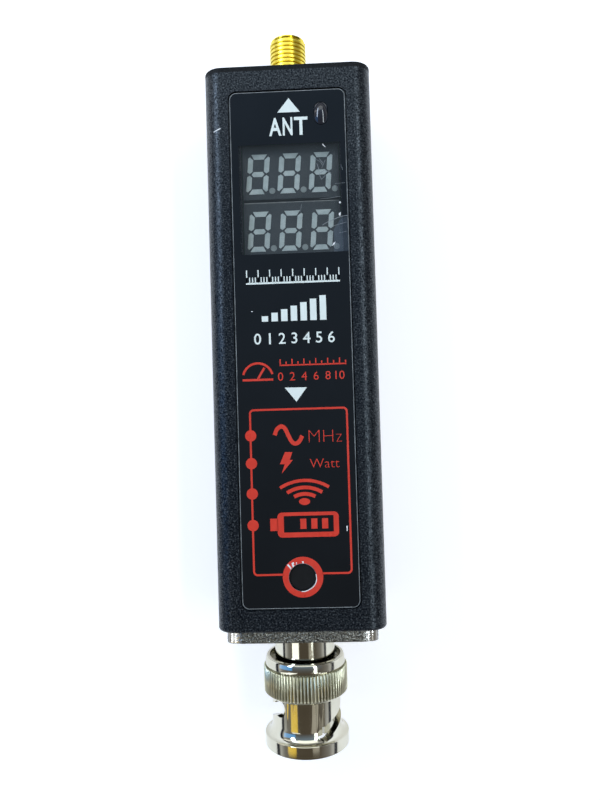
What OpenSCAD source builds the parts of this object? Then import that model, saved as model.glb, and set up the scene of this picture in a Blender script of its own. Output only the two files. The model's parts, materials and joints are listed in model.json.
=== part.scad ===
// Pocket in-line radio meter: a black extruded tube with a printed overlay, two LED displays and one
// button on its front, an SMA jack on its top cap and a BNC plug on its nickel end plate.
// It lies on its back: X to the right, Y towards the SMA jack, Z out of the front face.
// The origin is under the middle of the whole length, on the plane of the back face.

/* [Housing tube] */
// Width across the front
body_w = 27.6; // [27:0.2:32]
// Depth from the back to the front
body_t = 20; // [19.5:0.5:24]
// Length of the tube without its two ends
body_len = 91.7; // [90:0.1:110]
// Radius of the four long edges
body_r = 3; // [2.2:0.1:3.4]
// Wall thickness
wall = 1.6; // [1.4:0.1:1.8]
// Rounding of the tube's lower end
end_round = 0.5; // [0.2:0.1:0.8]
// Distance of a screw channel's centre from the two walls beside it
channel_inset = 2; // [1.8:0.1:2.1]
// Outer radius of a screw channel
channel_r = 1.6; // [1.4:0.1:1.7]
// Height of the board's guide ribs
rib_h = 1; // [0.6:0.1:1.4]
// Thickness of the board's guide ribs
rib_t = 0.8; // [0.6:0.1:1.2]

/* [Top cap and end plate] */
// Thickness of the top cap's visible rim
cap_t = 0.9; // [0.8:0.1:2]
// Rounding of the top cap's edge
cap_round = 0.3; // [0.2:0.1:0.7]
// Depth of the top cap's plug inside the tube
plug_t = 1.6; // [1.4:0.1:2.4]
// Thickness of the nickel end plate
plate_t = 2; // [1.6:0.1:3]
// How far the end plate stands back from the tube's outline
plate_inset = 0.9; // [0.6:0.1:1.4]
// Corner radius of the end plate
plate_r = 2; // [1.2:0.1:2.6]
// Rounding of the end plate's outer edge
plate_round = 0.35; // [0.2:0.05:0.6]

/* [Screws] */
// Radius of a screw's shank
screw_r = 0.85; // [0.7:0.05:0.95]
// Radius of a countersunk head
head_r = 1.5; // [1.4:0.1:1.8]
// Height of a countersunk head
head_h = 0.8; // [0.6:0.1:1]
// Length of a screw under its head
screw_len = 6; // [4:0.5:10]
// Radius of the cross recess in a head
recess_r = 0.8; // [0.6:0.1:1]

/* [Front overlay] */
// Width of the printed overlay
overlay_w = 18.96; // [18.8:0.02:20]
// Bare tube beyond the overlay at each end
overlay_margin = 3.7; // [3.2:0.1:6]
// Thickness of the overlay
overlay_t = 0.4; // [0.25:0.05:0.5]
// Corner radius of the overlay
overlay_r = 1.1; // [0.6:0.1:2]
// Depth of the recess that the overlay lies in
recess_depth = 0.5; // [0.4:0.05:0.7]
// Gap round the overlay in its recess
recess_gap = 0.25; // [0.1:0.05:0.4]
// How far the overlay sits above the middle of the tube
overlay_shift = 0.15; // [-0.5:0.05:0.5]

/* [LED displays] */
// Width of one display
display_w = 15.95; // [15.6:0.05:16.2]
// Height of one display
display_h = 9.1; // [8.8:0.1:9.4]
// Distance between the two displays' centres
display_pitch = 9.6; // [9.5:0.05:9.8]
// Sideways offset of the displays
display_x = 0.24; // [0:0.01:0.3]
// Distance of the displays' middle from the overlay's top edge
display_from_top = 17.57; // [17.4:0.01:20]
// Gap between a display's face and the inside of the front wall
face_gap = 0.1; // [0.05:0.05:0.6]
// Ledge on which the clear window rests
window_ledge = 0.4; // [0.3:0.05:0.6]
// Height of a digit
digit_h = 6.66; // [6:0.02:7]
// Width of a digit
digit_w = 3.6; // [3.2:0.05:3.8]
// Distance between digits
digit_pitch = 5.2; // [4.9:0.02:5.2]
// Width of a segment's stroke
stroke = 0.84; // [0.6:0.02:1]
// Slant of the digits in degrees
digit_slant = 5; // [0:1:8]
// Depth of the segments in the face
segment_depth = 0.4; // [0.2:0.1:1]

/* [Button and indicator] */
// Radius of the button
button_r = 2.1; // [1.8:0.05:2.4]
// Sideways offset of the button
button_x = 0.35; // [0:0.05:1]
// Distance of the button from the overlay's lower edge
button_from_bottom = 4.95; // [4.6:0.05:8]
// Depth of the button's top below the overlay
button_sink = 0.35; // [0.3:0.05:0.5]
// Travel of the button
button_travel = 0.25; // [0.15:0.05:0.4]
// Side of the push switch
switch_side = 6; // [5.5:0.1:6.4]
// Height of the push switch without its plunger
switch_h = 3.5; // [3:0.1:4]
// Radius of the switch's plunger
plunger_r = 1.7; // [1.4:0.05:1.9]
// Width of the indicator's oval lens
lens_w = 2.1; // [1.6:0.1:2.6]
// Length of the indicator's oval lens
lens_l = 3.6; // [3:0.1:4]
// How far the lens stands out of the overlay
lens_proud = 0.45; // [0.3:0.05:0.8]
// Sideways place of the lens
lens_x = 5.5; // [4.6:0.1:6]
// Distance of the lens from the overlay's top edge
lens_from_top = 3.95; // [3.8:0.05:5]

/* [Board and electronics] */
// Thickness of the circuit board
board_t = 1.6; // [1:0.1:1.8]
// Height of the radio shield can
shield_h = 3; // [2:0.1:3.2]
// Side of the microcontroller
mcu_side = 7; // [5:0.5:9]
// Leads on each side of the microcontroller
mcu_leads = 8; // [6:1:9]
// Gap between the battery cell and the screw channels beside it
cell_gap = 0.4; // [0.2:0.1:2]
// Length of the battery cell
cell_l = 42; // [30:1:44]
// Thickness of the battery cell
cell_t = 5; // [4:0.1:5.2]
// Thickness of the foam pad under the battery
pad_t = 0.5; // [0.3:0.1:0.6]
// Radius of a battery lead
lead_r = 0.5; // [0.4:0.05:0.6]
// Width of the charging socket's shell
usb_w = 7.5; // [7:0.1:7.6]
// Height of the charging socket's shell
usb_h = 2.5; // [2.2:0.1:2.6]
// Length of the charging socket's shell
usb_l = 5.8; // [5:0.1:6]
// Width of the opening for a charging plug in the tube's right side
plug_hole_w = 11; // [10.5:0.1:11.5]
// Height of the opening for a charging plug
plug_hole_h = 5.8; // [5:0.1:5.8]

/* [SMA jack] */
// How far the jack stands out of the top cap
sma_out = 9; // [8:0.1:12]
// Outer radius of the jack's thread
sma_r = 3.175; // [3.1:0.005:3.25]
// Radius of the jack's open bore
sma_bore_r = 2.3; // [2.2:0.02:2.5]
// Depth of the jack's open bore
sma_bore_depth = 1.9; // [1.5:0.1:2.5]
// Width across the flats of its nut
sma_flats = 8; // [7.6:0.1:8.4]
// Thickness of its nut
sma_nut_t = 2; // [1.6:0.1:2.4]
// Thickness of the flange inside the cap
sma_flange_t = 2; // [1.5:0.1:2.5]
// Radius of the solder tails of both connectors
tail_r = 0.635; // [0.5:0.005:0.7]
// Length of the solder tails of both connectors
tail_len = 5; // [3:0.5:5.5]

/* [BNC plug] */
// Length of bare neck between the plate and the coupling
neck_len = 4.4; // [3:0.1:6]
// Radius of the neck
neck_r = 5.2; // [5:0.02:5.24]
// Radius of the threaded shank through the end plate
shank_r = 4.5; // [4.3:0.05:4.8]
// Length of the coupling sleeve
coupling_len = 15.1; // [14.6:0.1:17]
// Radius of the knurled band
knurl_r = 7.28; // [7.1:0.02:7.6]
// Number of knurl ridges
knurl_count = 72; // [48:4:84]
// Depth of the knurl
knurl_depth = 0.28; // [0.15:0.01:0.4]
// Radius of the sleeve's rear rim
rim_r = 6.6; // [6.5:0.02:6.8]
// Radius of the sleeve's barrel
barrel_r = 5.95; // [5.85:0.05:6.2]
// Radius of the sleeve's mouth flange
mouth_r = 7.25; // [7:0.05:7.6]
// Thickness of the mouth flange
mouth_t = 2; // [1.6:0.1:2.4]
// Radius of the bore that slides over a jack
bayonet_bore_r = 4.95; // [4.9:0.01:5]
// Radius of the cavity for the spring and the body's flange
cavity_r = 6.15; // [6.1:0.01:6.25]
// Width of the bayonet slots
slot_w = 2.1; // [1.8:0.1:2.3]
// Radius of the detent hole at a slot's end
detent_r = 1.4; // [1.2:0.05:1.6]
// Angle at which a slot starts, from the right side towards the front
entry_angle = 60; // [40:1:80]
// Angle at which a slot ends in its detent
detent_angle = -41; // [-60:1:-20]
// Radius of the slotted outer contact
ferrule_r = 4.05; // [4:0.01:4.15]
// Wall of the slotted outer contact
ferrule_wall = 0.55; // [0.4:0.05:0.7]
// Radius of the centre pin
pin_r = 0.675; // [0.6:0.005:0.7]
// Axial float of the coupling against its spring
coupling_float = 0.5; // [0.3:0.05:0.6]

/* [Hidden] */
$fn = 64;

// Small gaps and a margin for clean cuts
fit_gap = 0.05;
slip_gap = 0.1;
turn_gap = 0.2;
seat_gap = 0.02;
cut = 1;

// Places along Y, from the jack's tip to the plug's mouth
overall_len = sma_out + cap_t + body_len + plate_t + neck_len + coupling_len;
tip_y = overall_len / 2;
cap_y = tip_y - sma_out;
tube_top_y = cap_y - cap_t;
plug_y = tube_top_y - plug_t;
tube_end_y = tube_top_y - body_len;
plate_y = tube_end_y - plate_t;
rear_y = plate_y - neck_len;
tube_mid_y = (tube_top_y + tube_end_y) / 2;

// Places along Z
axis_z = body_t / 2;
board_z = axis_z + tail_r + seat_gap;
board_top_z = board_z + board_t;
floor_z = body_t - recess_depth;
overlay_top_z = floor_z + overlay_t;
inner_front_z = body_t - wall;
inner_w = body_w - 2 * wall;
inner_t = body_t - 2 * wall;
inner_r = 0.6;
channel_x = inner_w / 2 - channel_inset;
channel_z = inner_t / 2 - channel_inset;
pilot_r = screw_r + seat_gap;

// Overlay, window and displays
overlay_len = body_len - 2 * overlay_margin;
overlay_y = tube_mid_y + overlay_shift;
overlay_top_y = overlay_y + overlay_len / 2;
display_y = overlay_top_y - display_from_top;
display_face_z = inner_front_z - face_gap;
opening_w = display_w + 2 * turn_gap;
opening_h = display_pitch + display_h + 2 * turn_gap;
window_w = opening_w + 2 * window_ledge;
window_h = opening_h + 2 * window_ledge;
digit_shift_x = -0.25;
digit_shift_y = -0.3;
point_x = digit_w / 2 + 0.5;
point_r = 0.5;

// Button, switch and indicator
button_y = overlay_y - overlay_len / 2 + button_from_bottom;
button_top_z = overlay_top_z - button_sink;
button_flange_r = button_r + 0.9;
button_flange_t = 0.8;
button_stop_gap = 0.2;
button_stem_r = 1.5;
plunger_out = button_travel + 0.25;
switch_top_z = board_top_z + switch_h;
plunger_top_z = switch_top_z + plunger_out;
plunger_depth = 0.8;
dome_t = 0.12;
dome_rise = button_travel + 0.15;
dome_r = plunger_r - 0.1;
dome_base_z = switch_top_z - plunger_depth - seat_gap - dome_rise;
lens_y = overlay_top_y - lens_from_top;
lens_flange = 0.4;
led_h = 1.9;
lens_bottom_z = board_top_z + led_h + slip_gap;

// Board and what it carries
board_gap = 0.2;
board_w = inner_w - 2 * board_gap;
board_y0 = tube_end_y + 1.2;
board_y1 = plug_y - turn_gap;
notch_gap = 0.4;
sma_flange_y = plug_y - sma_flange_t;
sma_back_len = 1.2;
sma_root_r = sma_r - 0.2;
sma_back_y = sma_flange_y - sma_back_len;
bnc_nut_flats = 2 * shank_r + 3;
bnc_nut_t = 2.2;
washer_t = 0.6;
washer_w = 0.5;
nut_top_y = cap_y + washer_t + sma_nut_t;
shank_y = tube_end_y + washer_t + bnc_nut_t + 0.6;
shield_sheet = 0.25;
mouse_hole = [2.4, 1.4];
mcu_t = 1.2;
free_mid_y = (display_y - (display_pitch + display_h) / 2 + button_y + switch_side / 2) / 2;
mcu_y = free_mid_y - mcu_side;
charger_size = [4, 5, 1.5];
charger_y = free_mid_y + mcu_side;
cell_w = 2 * (channel_x - channel_r - cell_gap);
cell_y = shank_y + tail_len + 6 + cell_l / 2;
cell_z = wall + pad_t;
cell_r = cell_t * 0.3;
lead_x = 2;
lead_bend = 1.5;
lead_out = 1;
lead_z = cell_z + cell_t / 2;
lead_end_y = cell_y + cell_l / 2 + lead_out + lead_bend;
usb_mouth_x = inner_w / 2 - slip_gap;
usb_y = lens_y;
usb_z = board_z - seat_gap - usb_h / 2;
shield_w = 2 * (usb_mouth_x - usb_l - 0.6);
shield_y0 = lead_end_y + lead_r + 0.7;
shield_l = sma_back_y - 2.35 - shield_y0;
usb_sheet = 0.3;
usb_back = 0.8;
tongue_size = [3.8, 3.6, 0.7];
plug_hole_r = 1.5;

// BNC plug, measured from the coupling's rear rim towards its mouth
rim_arc_u = 1.68;
knurl_u = 6.07;
shoulder_u = 0.6;
cavity_u = 5.2;
ring_u = 1.6;
ring_t = 0.6;
thrust_t = 0.5;
spring_t = 0.25;
spring_u = ring_u + ring_t + thrust_t;
spring_h = coupling_float + spring_t + 0.15;
flange_u = spring_u + spring_h;
flare_u = coupling_len - mouth_t - 1.8;
mouth_u = coupling_len - mouth_t;
ferrule_seat = 1.2;
ferrule_root_r = ferrule_r - 0.3;
ferrule_u = coupling_len - 2.1;
gasket_t = 1.5;
gasket_r = bayonet_bore_r - turn_gap;
body_flange_r = cavity_r - turn_gap;
washer_in_r = neck_r + 0.15;
insulator_r = 2.4;
insulator_u = 9.5;
pin_u = 12.4;
stud_r = 5.75;
entry_w = 2.3;
detent_u = 8.1;
entry_u = mouth_u - slot_w / 2 - 0.25;
groove_r = cavity_r + 0.3;
arc_step = 15;
slot_steps = 5;
slot_overlap = 0.6;
entry_r = slot_w / 2 + 0.15;

// Shared shapes

module rounded_rect(w, h, r) {
    square([w - 2 * r, h], center = true);
    square([w, h - 2 * r], center = true);
    for (sx = [-1, 1], sy = [-1, 1])
        translate([sx * (w / 2 - r), sy * (h / 2 - r)])
            circle(r);
}

// The filling of a rounded edge: a quarter of a disc
module quarter(e) {
    intersection() {
        circle(e);
        square(e);
    }
}

// A rounded slab from z = 0 to t, whose edge at z = t is rounded by e
module soft_slab(w, h, r, t, e) {
    linear_extrude(t - e) rounded_rect(w, h, r);
    linear_extrude(t) rounded_rect(w - 2 * e, h - 2 * e, r - e);
    for (turn = [0, 180])
        rotate(turn) {
            translate([0, h / 2 - e, t - e])
                rotate([90, 0, 90])
                    linear_extrude(w - 2 * r, center = true)
                        quarter(e);
            translate([w / 2 - e, 0, t - e])
                rotate([90, 0, 0])
                    linear_extrude(h - 2 * r, center = true)
                        quarter(e);
            translate([w / 2 - r, h / 2 - r, t - e])
                rotate_extrude(angle = 90)
                    translate([r - e, 0])
                        quarter(e);
            translate([r - w / 2, h / 2 - r, t - e])
                rotate(90)
                    rotate_extrude(angle = 90)
                        translate([r - e, 0])
                            quarter(e);
        }
}

// Turns a shape whose height runs along Z so that it runs down from y, round the connectors' axis
module down_from(y) {
    translate([0, y, axis_z]) rotate([90, 0, 0]) children();
}

module rod(y_high, y_low, r) {
    down_from(y_high) cylinder(h = y_high - y_low, r = r);
}

module tube_ring(u, h, r_out, r_in) {
    translate([0, 0, u])
        difference() {
            cylinder(h = h, r = r_out);
            translate([0, 0, -cut]) cylinder(h = h + 2 * cut, r = r_in);
        }
}

module oval(w, l) {
    square([w, l - w], center = true);
    for (s = [-1, 1])
        translate([0, s * (l - w) / 2])
            circle(w / 2);
}

module at_channels() {
    for (sx = [-1, 1], sz = [-1, 1])
        scale([sx, sz, 1])
            translate([channel_x, channel_z, 0])
                children();
}

// A hexagonal prism with two of its flats facing left and right
module hexagon(flats, h) {
    rotate(30) cylinder(h = h, r = flats / 2 / cos(30), $fn = 6);
}

// A countersunk screw pointing up Z, with the top of its head at z = 0
module screw() {
    difference() {
        union() {
            cylinder(h = head_h, r1 = head_r, r2 = screw_r);
            cylinder(h = head_h + screw_len, r = screw_r);
        }
        for (a = [0, 90])
            rotate(a)
                cube([2 * recess_r, recess_r / 2, head_h], center = true);
    }
}

// The hole for that screw through a plate of the given thickness
module screw_hole(t) {
    translate([0, 0, -cut]) cylinder(h = t + 2 * cut, r = screw_r + slip_gap);
    translate([0, 0, -seat_gap])
        cylinder(h = head_h + slip_gap, r1 = head_r + slip_gap + seat_gap, r2 = screw_r + seat_gap);
}

// Housing

module tube_shell() {
    difference() {
        translate([0, tube_top_y, axis_z])
            rotate([90, 0, 0])
                soft_slab(body_w, body_t, body_r, body_len, end_round);
        down_from(tube_top_y + cut)
            linear_extrude(body_len + 2 * cut)
                rounded_rect(inner_w, inner_t, inner_r);
    }
}

// The section of a screw channel, joined to the two walls of its corner
module channel_section() {
    circle(channel_r);
    translate([0, -channel_r]) square([channel_inset + fit_gap, channel_r + channel_inset + fit_gap]);
    translate([-channel_r, 0]) square([channel_r + channel_inset + fit_gap, channel_inset + fit_gap]);
}

module guide_rib(side, z, top_y) {
    x = side * (inner_w / 2 - rib_h);
    translate([min(x, side * (inner_w / 2 + fit_gap)), tube_end_y, z])
        cube([rib_h + fit_gap, top_y - tube_end_y, rib_t]);
}

module housing() color("#1c1f23") difference() {
    union() {
        tube_shell();
        down_from(plug_y)
            at_channels()
                linear_extrude(plug_y - tube_end_y)
                    channel_section();
        for (side = [-1, 1]) {
            guide_rib(side, board_z - slip_gap - rib_t, usb_y - plug_hole_w / 2 - turn_gap);
            guide_rib(side, board_top_z + slip_gap, plug_y);
        }
    }
    down_from(tube_top_y)
        at_channels()
            translate([0, 0, -cut])
                cylinder(h = body_len + 2 * cut, r = pilot_r);
    translate([0, overlay_y, floor_z])
        linear_extrude(recess_depth + cut)
            rounded_rect(overlay_w + 2 * recess_gap, overlay_len + 2 * recess_gap, overlay_r + recess_gap);
    translate([display_x, display_y, axis_z])
        linear_extrude(body_t)
            square([opening_w, opening_h], center = true);
    translate([lens_x, lens_y, axis_z])
        linear_extrude(body_t)
            oval(lens_w + 2 * slip_gap, lens_l + 2 * slip_gap);
    translate([button_x, button_y, axis_z])
        cylinder(h = body_t, r = button_r + turn_gap);
    translate([inner_w / 2 - cut, usb_y, usb_z])
        rotate([90, 0, 90])
            linear_extrude(wall + 2 * cut)
                rounded_rect(plug_hole_w, plug_hole_h, plug_hole_r);
}

module top_cap() color("#16181b") difference() {
    union() {
        translate([0, tube_top_y, axis_z])
            rotate([-90, 0, 0])
                soft_slab(body_w, body_t, body_r, cap_t, cap_round);
        down_from(tube_top_y)
            linear_extrude(plug_t)
                rounded_rect(inner_w - 2 * slip_gap, inner_t - 2 * slip_gap, inner_r);
    }
    rod(cap_y + cut, plug_y - cut, sma_r + slip_gap);
    down_from(cap_y) at_channels() screw_hole(cap_t + plug_t);
}

module top_cap_screws() color("#3a3c40")
    down_from(cap_y) at_channels() screw();

module end_plate() color("#b9b6ac") difference() {
    down_from(tube_end_y)
        soft_slab(body_w - 2 * plate_inset, body_t - 2 * plate_inset, plate_r, plate_t, plate_round);
    rod(tube_end_y + cut, plate_y - cut, shank_r + fit_gap);
    translate([0, plate_y, axis_z]) rotate([-90, 0, 0]) at_channels() screw_hole(plate_t);
}

module end_plate_screws() color("#c4c2ba")
    translate([0, plate_y, axis_z]) rotate([-90, 0, 0]) at_channels() screw();

// Front

module front_overlay() color("#191c20")
    translate([0, overlay_y, floor_z])
        linear_extrude(overlay_t)
            difference() {
                rounded_rect(overlay_w, overlay_len, overlay_r);
                translate([display_x, display_y - overlay_y])
                    square([window_w + 2 * fit_gap, window_h + 2 * fit_gap], center = true);
                translate([lens_x, lens_y - overlay_y])
                    oval(lens_w + 2 * slip_gap, lens_l + 2 * slip_gap);
                translate([button_x, button_y - overlay_y])
                    circle(button_r + slip_gap);
            }

module display_window() color("#4a5258", 0.4)
    translate([display_x, display_y, floor_z])
        linear_extrude(overlay_t)
            square([window_w, window_h], center = true);

// One segment outline, leaned over by the digits' slant
module leaning(points) {
    polygon([for (p = points) [p[0] + p[1] * tan(digit_slant), p[1]]]);
}

// The eight lit shapes of one digit, grown by the given amount
module digit_shapes(grow) {
    w = digit_w / 2;
    h = digit_h / 2;
    g = grow;
    miter = stroke * 0.6;
    for (s = [-1, 1]) {
        leaning([[-w + miter - g, s * (h + g)], [w - miter + g, s * (h + g)],
            [w - 2 * miter + g, s * (h - stroke - g)], [-w + 2 * miter - g, s * (h - stroke - g)]]);
        for (t = [-1, 1])
            leaning([[t * (w + g), s * (h - miter * 1.2)], [t * (w - stroke / 3), s * (h - miter * 0.8 + g)],
                [t * (w - stroke - g), s * (h - miter * 1.8)], [t * (w - stroke - g), s * stroke * 0.6],
                [t * (w - stroke / 2), s * (stroke * 0.18 - g)], [t * (w + g), s * stroke * 0.5]]);
    }
    leaning([[-w + stroke * 0.9 - g, 0], [-w + stroke * 1.3, stroke / 2 + g],
        [w - stroke * 1.3, stroke / 2 + g], [w - stroke * 0.9 + g, 0],
        [w - stroke * 1.3, -stroke / 2 - g], [-w + stroke * 1.3, -stroke / 2 - g]]);
    translate([point_x, point_r - h]) circle(point_r + g);
}

module display_digits(y, depth, grow, above) {
    for (i = [-1:1])
        translate([display_x + digit_shift_x + i * digit_pitch, y + digit_shift_y, display_face_z - depth])
            linear_extrude(depth + above)
                digit_shapes(grow);
}

module led_display(y) {
    difference() {
        translate([display_x - display_w / 2, y - display_h / 2, board_top_z])
            cube([display_w, display_h, display_face_z - board_top_z]);
        display_digits(y, segment_depth, seat_gap, cut);
    }
}

module led_display_upper() color("#3c4448") led_display(display_y + display_pitch / 2);

module led_display_lower() color("#3c4448") led_display(display_y - display_pitch / 2);

module led_segments_upper() color("#98a29c")
    display_digits(display_y + display_pitch / 2, segment_depth, 0, 0);

module led_segments_lower() color("#98a29c")
    display_digits(display_y - display_pitch / 2, segment_depth, 0, 0);

module mode_button() color("#121416") translate([button_x, button_y, 0]) {
    flange_z = inner_front_z - button_stop_gap - button_flange_t;
    translate([0, 0, plunger_top_z]) cylinder(h = flange_z - plunger_top_z + fit_gap, r = button_stem_r);
    translate([0, 0, flange_z]) cylinder(h = button_flange_t, r = button_flange_r);
    translate([0, 0, flange_z]) cylinder(h = button_top_z - flange_z, r = button_r);
}

module indicator_lens() color("#2b2a33") translate([lens_x, lens_y, 0]) {
    // The dome is the top of a lying capsule that meets the overlay's plane at the oval's edge
    half_w = lens_w / 2;
    dome = (half_w * half_w + lens_proud * lens_proud) / (2 * lens_proud);
    translate([0, 0, lens_bottom_z])
        linear_extrude(overlay_top_z - lens_bottom_z)
            oval(lens_w, lens_l);
    translate([0, 0, inner_front_z - lens_flange])
        linear_extrude(lens_flange)
            oval(lens_w + 2 * lens_flange, lens_l + 2 * lens_flange);
    intersection() {
        translate([0, 0, overlay_top_z - fit_gap])
            linear_extrude(2 * lens_proud)
                oval(lens_w, lens_l);
        translate([0, 0, overlay_top_z + lens_proud - dome]) {
            rotate([90, 0, 0]) cylinder(h = lens_l - lens_w, r = dome, center = true);
            for (s = [-1, 1])
                translate([0, s * (lens_l - lens_w) / 2, 0])
                    sphere(dome);
        }
    }
}

module indicator_led() color("#d8d6c8") translate([lens_x, lens_y, board_top_z]) {
    base = [2, 3, led_h / 2];
    translate([-base[0] / 2, -base[1] / 2, 0]) cube(base);
    translate([0, 0, base[2] - fit_gap]) cylinder(h = led_h - base[2] + fit_gap, r = base[0] / 2.4);
}

// Push switch

module switch_body() color("#202224") translate([button_x, button_y, board_top_z]) {
    foot = [0.8, 1.2, 0.3];
    difference() {
        translate([-switch_side / 2, -switch_side / 2, 0]) cube([switch_side, switch_side, switch_h]);
        translate([0, 0, dome_base_z - board_top_z]) cylinder(h = switch_h, r = plunger_r + slip_gap);
    }
    for (sx = [-1, 1], sy = [-1, 1])
        translate([sx * (switch_side + foot[1]) / 2, sy * switch_side / 3, foot[2] / 2])
            cube([foot[1] + slip_gap, foot[0], foot[2]], center = true);
}

module switch_plunger() color("#2c2f33")
    translate([button_x, button_y, switch_top_z - plunger_depth])
        cylinder(h = plunger_depth + plunger_out, r = plunger_r);

module switch_dome() color("#c9c4b4") translate([button_x, button_y, dome_base_z]) {
    ball = (dome_r * dome_r + dome_rise * dome_rise) / (2 * dome_rise);
    intersection() {
        cylinder(h = dome_rise, r = dome_r);
        translate([0, 0, dome_rise - ball])
            difference() {
                sphere(ball);
                sphere(ball - dome_t);
            }
    }
}

// Board and electronics

module main_board() color("#1f5a3a") difference() {
    translate([-board_w / 2, board_y0, board_z])
        cube([board_w, board_y1 - board_y0, board_t]);
    translate([-sma_flats / 2 - notch_gap, sma_back_y - notch_gap, board_z - cut])
        cube([sma_flats + 2 * notch_gap, body_len, board_t + 2 * cut]);
    translate([-bnc_nut_flats / 2 - notch_gap, shank_y + notch_gap - body_len, board_z - cut])
        cube([bnc_nut_flats + 2 * notch_gap, body_len, board_t + 2 * cut]);
}

// A flat chip on the board with a row of leads along each side that is asked for
module chip(size, leads, sides) {
    lead = [size[0] / leads / 2, 0.8, 0.3];
    pitch = size[0] / (leads + 1);
    translate([-size[0] / 2, -size[1] / 2, slip_gap]) cube([size[0], size[1], size[2] - slip_gap]);
    for (a = sides)
        rotate(a)
            for (i = [1:leads])
                translate([i * pitch - size[0] / 2 - lead[0] / 2, size[1] / 2 - fit_gap, 0])
                    cube(lead);
}

module microcontroller() color("#232528")
    translate([0, mcu_y, board_top_z])
        chip([mcu_side, mcu_side, mcu_t], mcu_leads, [0, 90, 180, 270]);

module charger_chip() color("#26282b")
    translate([-board_w / 4, charger_y, board_top_z])
        chip(charger_size, 4, [0, 180]);

module rf_shield() color("#b4b7b8") translate([0, shield_y0, board_z - shield_h]) difference() {
    translate([-shield_w / 2, 0, 0]) cube([shield_w, shield_l, shield_h]);
    translate([shield_sheet - shield_w / 2, shield_sheet, shield_sheet])
        cube([shield_w - 2 * shield_sheet, shield_l - 2 * shield_sheet, shield_h]);
    translate([-mouse_hole[0] / 2, shield_l / 2, shield_h - mouse_hole[1]])
        cube([mouse_hole[0], shield_l, mouse_hole[1] + cut]);
}

// The charging socket hangs under the board and opens to the right
module usb_socket() color("#b9bcbd")
    translate([usb_mouth_x, usb_y, usb_z])
        rotate([0, -90, 0])
            difference() {
                linear_extrude(usb_l) rounded_rect(usb_h, usb_w, usb_sheet);
                translate([0, 0, -cut])
                    linear_extrude(usb_l - usb_back + cut)
                        square([usb_h - 2 * usb_sheet, usb_w - 2 * usb_sheet], center = true);
            }

module usb_tongue() color("#1a1c1e")
    translate([usb_mouth_x - usb_l + usb_back, usb_y - tongue_size[1] / 2, usb_z - tongue_size[2] / 2])
        cube(tongue_size);

module battery_cell() color("#aeb4b8") {
    seal = [cell_w, 2, 0.6];
    translate([0, cell_y + cell_l / 2 - seal[1], cell_z + cell_t / 2])
        rotate([90, 0, 0])
            linear_extrude(cell_l - seal[1])
                rounded_rect(cell_w, cell_t, cell_r);
    translate([-seal[0] / 2, cell_y + cell_l / 2 - seal[1] - fit_gap, lead_z - seal[2]])
        cube([seal[0], seal[1] + fit_gap, 2 * seal[2]]);
}

module battery_pad() color("#2f3134")
    translate([-0.3 * cell_w, cell_y - 0.4 * cell_l, wall])
        cube([0.6 * cell_w, 0.8 * cell_l, pad_t]);

// A lead out of the cell's end, bent up to a pad under the board
module battery_lead(x) {
    translate([x, lead_end_y - lead_bend, lead_z]) {
        rotate([90, 0, 0]) cylinder(h = lead_out, r = lead_r);
        translate([0, 0, lead_bend])
            rotate([0, 90, 0])
                rotate_extrude(angle = 90)
                    translate([lead_bend, 0])
                        circle(lead_r);
        translate([0, lead_bend, lead_bend])
            cylinder(h = board_z - lead_z - lead_bend, r = lead_r);
    }
}

module battery_lead_red() color("#b3261e") battery_lead(lead_x);

module battery_lead_black() color("#17181a") battery_lead(-lead_x);

// SMA jack

module sma_body() color("#d8a934") difference() {
    chamfer = 0.4;
    union() {
        down_from(tip_y)
            rotate_extrude()
                polygon([[0, 0], [sma_r - chamfer, 0], [sma_r, chamfer], [sma_r, tip_y - nut_top_y],
                    [sma_root_r, tip_y - nut_top_y], [sma_root_r, tip_y - sma_flange_y],
                    [0, tip_y - sma_flange_y]]);
        down_from(plug_y) hexagon(sma_flats, sma_flange_t);
        rod(plug_y, sma_back_y, sma_bore_r + 0.4);
    }
    rod(tip_y + cut, tip_y - sma_bore_depth, sma_bore_r);
    rod(tip_y, sma_back_y - cut, sma_bore_r - 0.25);
}

module sma_nut() color("#d2a22e") down_from(nut_top_y) difference() {
    hexagon(sma_flats, sma_nut_t);
    translate([0, 0, -cut]) cylinder(h = sma_nut_t + 2 * cut, r = sma_root_r + seat_gap);
}

module sma_lock_washer() color("#c9982c") down_from(cap_y + washer_t)
    tube_ring(0, washer_t, sma_r + washer_w, sma_r + slip_gap);

module sma_insulator() color("#e9e7df") down_from(tip_y - sma_bore_depth)
    tube_ring(0, tip_y - sma_bore_depth - sma_back_y, sma_bore_r - 0.25 - seat_gap, tail_r + seat_gap);

module sma_contact() color("#e0b648") difference() {
    socket_r = 0.47;
    socket_depth = 2.6;
    rod(tip_y - sma_bore_depth, sma_back_y - tail_len, tail_r);
    rod(tip_y, tip_y - sma_bore_depth - socket_depth, socket_r);
}

// BNC plug

module bnc_body() color("#c6c3b9") difference() {
    union() {
        rod(plate_y, rear_y - flange_u - fit_gap, neck_r);
        rod(shank_y, plate_y - fit_gap, shank_r);
        rod(rear_y - flange_u, rear_y - cavity_u, body_flange_r);
    }
    rod(shank_y + cut, rear_y - cavity_u - cut, insulator_r + seat_gap);
    rod(rear_y - cavity_u + ferrule_seat, rear_y - cavity_u - cut, ferrule_root_r + seat_gap);
}

module bnc_nut() color("#bdbab0") down_from(shank_y - 0.6) difference() {
    hexagon(bnc_nut_flats, bnc_nut_t);
    translate([0, 0, -cut]) cylinder(h = bnc_nut_t + 2 * cut, r = shank_r + seat_gap);
}

module bnc_lock_washer() color("#b3b0a6") down_from(tube_end_y + washer_t)
    tube_ring(0, washer_t, bnc_nut_flats / 2, shank_r + slip_gap);

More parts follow.
